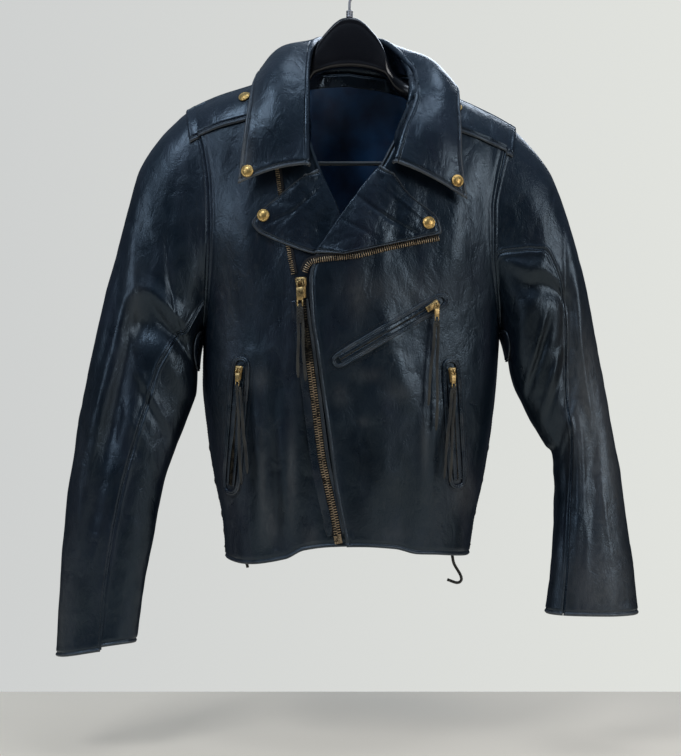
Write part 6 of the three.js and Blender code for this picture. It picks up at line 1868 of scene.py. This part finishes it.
hookShape = {"wire": 3.2, "inside": 19.0, "ferruleTop": -61.0, "ferruleFoot": -69.8,
             "ferruleRadius": 4.2}
turn = np.radians(np.linspace(-48, 214, 40))
reach = hookShape["inside"] + hookShape["wire"] / 2
crown = xyz(np.cos(turn) * reach, 0 * turn, np.sin(turn) * reach - hookShape["inside"])
stem = np.array([(0, 0, -60.5), (0, 0, -53), (1.2, 0, -47), (6.5, 0, -40.5)])
hookPath = smoothPath(np.concatenate([stem, crown]), 140)
addPiece("hook_wire", roundTube(hookPath, hookShape["wire"] / 2, 24), hookSteel, ["hook"])

# The ferrule: a turned collar with two grooves.
radius = hookShape["ferruleRadius"] * np.array(
    [0.4, 0.86, 0.97, 1, 1, 0.93, 0.93, 1, 1, 0.93, 0.93, 1, 1, 0.95, 0.8, 0.4])
height = mix(hookShape["ferruleFoot"], hookShape["ferruleTop"], np.array(
    [0, 0, 0.03, 0.08, 0.3, 0.33, 0.38, 0.41, 0.6, 0.63, 0.68, 0.71, 0.92, 0.97, 1, 1]))
turn = np.linspace(0, 2 * np.pi, 40, endpoint=False)
points = xyz(radius[:, None] * np.cos(turn), radius[:, None] * np.sin(turn),
             height[:, None] + 0 * turn)
addPiece("hook_ferrule_turned",
         (points, gridQuads(len(radius), len(turn), wrap=True), capFans(len(radius), len(turn))),
         hookSteel, ["hook_ferrule"])
print("hanger ready")

# Topstitching: one small thread shape set down along every remembered row.
parts = []
for line, up in stitchRows:
    length = runLengths(line)
    pitch = leatherThread["length"] + leatherThread["gap"]
    at = np.arange(pitch / 2, length[-1], pitch)
    if len(at) < 2:
        continue
    centre, normal = columnsAt(at, length, line), unit(columnsAt(at, length, up))
    ahead = columnsAt(at + 0.6, length, line) - columnsAt(at - 0.6, length, line)
    ahead = unit(ahead - normal * (ahead * normal).sum(-1, keepdims=True))
    across = np.cross(normal, ahead)
    half, r = leatherThread["length"] / 2, leatherThread["radius"]
    shapeOf = np.array([(0, -half, -0.15), (r, -half * 0.6, 0), (0, -half * 0.6, r * 1.1),
                        (-r, -half * 0.6, 0), (r, half * 0.6, 0), (0, half * 0.6, r * 1.1),
                        (-r, half * 0.6, 0), (0, half, -0.15), (0, 0, -r)], float)
    quads = np.array([(1, 4, 5, 2), (2, 5, 6, 3)])
    triangles = np.array([(0, 1, 2), (0, 2, 3), (7, 5, 4), (7, 6, 5), (1, 8, 4), (3, 6, 8),
                          (0, 8, 1), (0, 3, 8), (7, 4, 8), (7, 8, 6)])
    parts.append(copies((shapeOf, quads, triangles), centre - normal * leatherThread["sink"],
                        across, ahead, normal))
addPiece("topstitching", joined(parts), threadBlack)
print("stitches ready:", sum(len(p[0]) // 9 for p in parts))

# CAD pieces whose shapes are right only get their finish.
carried = {"zip_brass": toothBrass}
for subpart in frame["record"]["subparts"]:
    if subpart["material_slot"] in carried:
        cadNode = frame["nodes"][subpart["node"]]
        for i in range(len(cadNode.data.materials)):
            cadNode.data.materials[i] = carried[subpart["material_slot"]]

room = {"floorZ": -0.98, "floorBack": 0.26, "floorSide": 2.5, "floorFront": -2.6,
        "floorDark": (0.92, 0.78, 0.61), "floorLight": (0.98, 0.84, 0.66), "floorRoughness": 0.7,
        "wallLeft": (0.69, 0.705, 0.70), "wallRight": (0.835, 0.85, 0.81), "wallStrength": 0.9,
        "skyTint": (0.72, 0.92, 1.2)}
floorPaint, tree, shader = newMaterial("floorPaint")
mottle = noiseOn(tree, objectPlace(tree), 1.6, 4.0)
feed(tree, shader, {"Base Color": blendColours(tree, mottle, room["floorDark"], room["floorLight"]),
                    "Roughness": room["floorRoughness"]})
mesh = bpy.data.meshes.new("floor")
mesh.from_pydata([(x, y, room["floorZ"]) for x, y in (
    (-room["floorSide"], room["floorFront"]), (room["floorSide"], room["floorFront"]),
    (room["floorSide"], room["floorBack"]), (-room["floorSide"], room["floorBack"]))],
    [], [(0, 1, 2, 3)])
mesh.materials.append(floorPaint)
floor = bpy.data.objects.new("floor", mesh)
bpy.context.scene.collection.objects.link(floor)

# The backdrop is pale; the light that falls on the jacket comes mostly from above.
world = bpy.data.worlds.new("studioWorld")
world.use_nodes = True
sky = world.node_tree
heading = node(sky, "SeparateXYZ", {0: node(sky, "TexCoord").outputs["Generated"]})
# The wall that the camera sees is painted darker to the left than to the right, a painted shade.
wall = blendColours(sky, ranged(sky, heading.outputs["X"], -0.25, 0.25),
                    room["wallLeft"], room["wallRight"])
light = ramp(sky, ranged(sky, heading.outputs["Z"], -1.0, 1.0),
             [(0.0, 0.05), (0.45, 0.03), (0.62, 0.07), (1.0, 0.5)])
light = blendColours(sky, light, (0.0, 0.0, 0.0), room["skyTint"])
seen = node(sky, "LightPath").outputs["Is Camera Ray"]
feed(sky, sky.nodes["Background"], {"Color": blendColours(sky, seen, light, wall),
                                    "Strength": room["wallStrength"]})
bpy.context.scene.world = world
bpy.context.scene.view_settings.view_transform = "Standard"

# Cool lamps, except where one says otherwise.
coolTint = (0.84, 0.94, 1.08)
lamps = {
    "keyLamp": {"place": (-0.8, -1.1, 1.15), "aim": (0, 0, -0.45), "size": 0.6, "power": 9.5},
    "leftGlint": {"place": (-1.5, -1.1, 0.2), "aim": (0, 0, -0.5), "size": 0.7, "power": 4.6},
    "rightGlint": {"place": (1.4, -1.3, 0.0), "aim": (0, 0, -0.55), "size": 0.7, "power": 9.5,
                   "tint": (0.97, 0.96, 0.96)},
    "topLamp": {"place": (0.3, -0.3, 1.5), "aim": (0, 0, -0.3), "size": 0.8, "power": 6.5},
    "backLamp": {"place": (0.6, 1.6, 0.9), "aim": (0, 0, -0.45), "size": 1.0, "power": 15},
}
for name, lamp in lamps.items():
    data = bpy.data.lights.new(name, "AREA")
    data.size = lamp["size"]
    data.energy = lamp["power"]
    data.color = lamp.get("tint", coolTint)
    light = bpy.data.objects.new(name, data)
    light.location = lamp["place"]
    aim = np.array(lamp["aim"]) - np.array(lamp["place"])
    flat = math.hypot(aim[0], aim[1])
    light.rotation_euler = (math.pi / 2 + math.atan2(aim[2], flat), 0,
                            math.atan2(aim[1], aim[0]) - math.pi / 2)
    bpy.context.scene.collection.objects.link(light)
print("room ready")
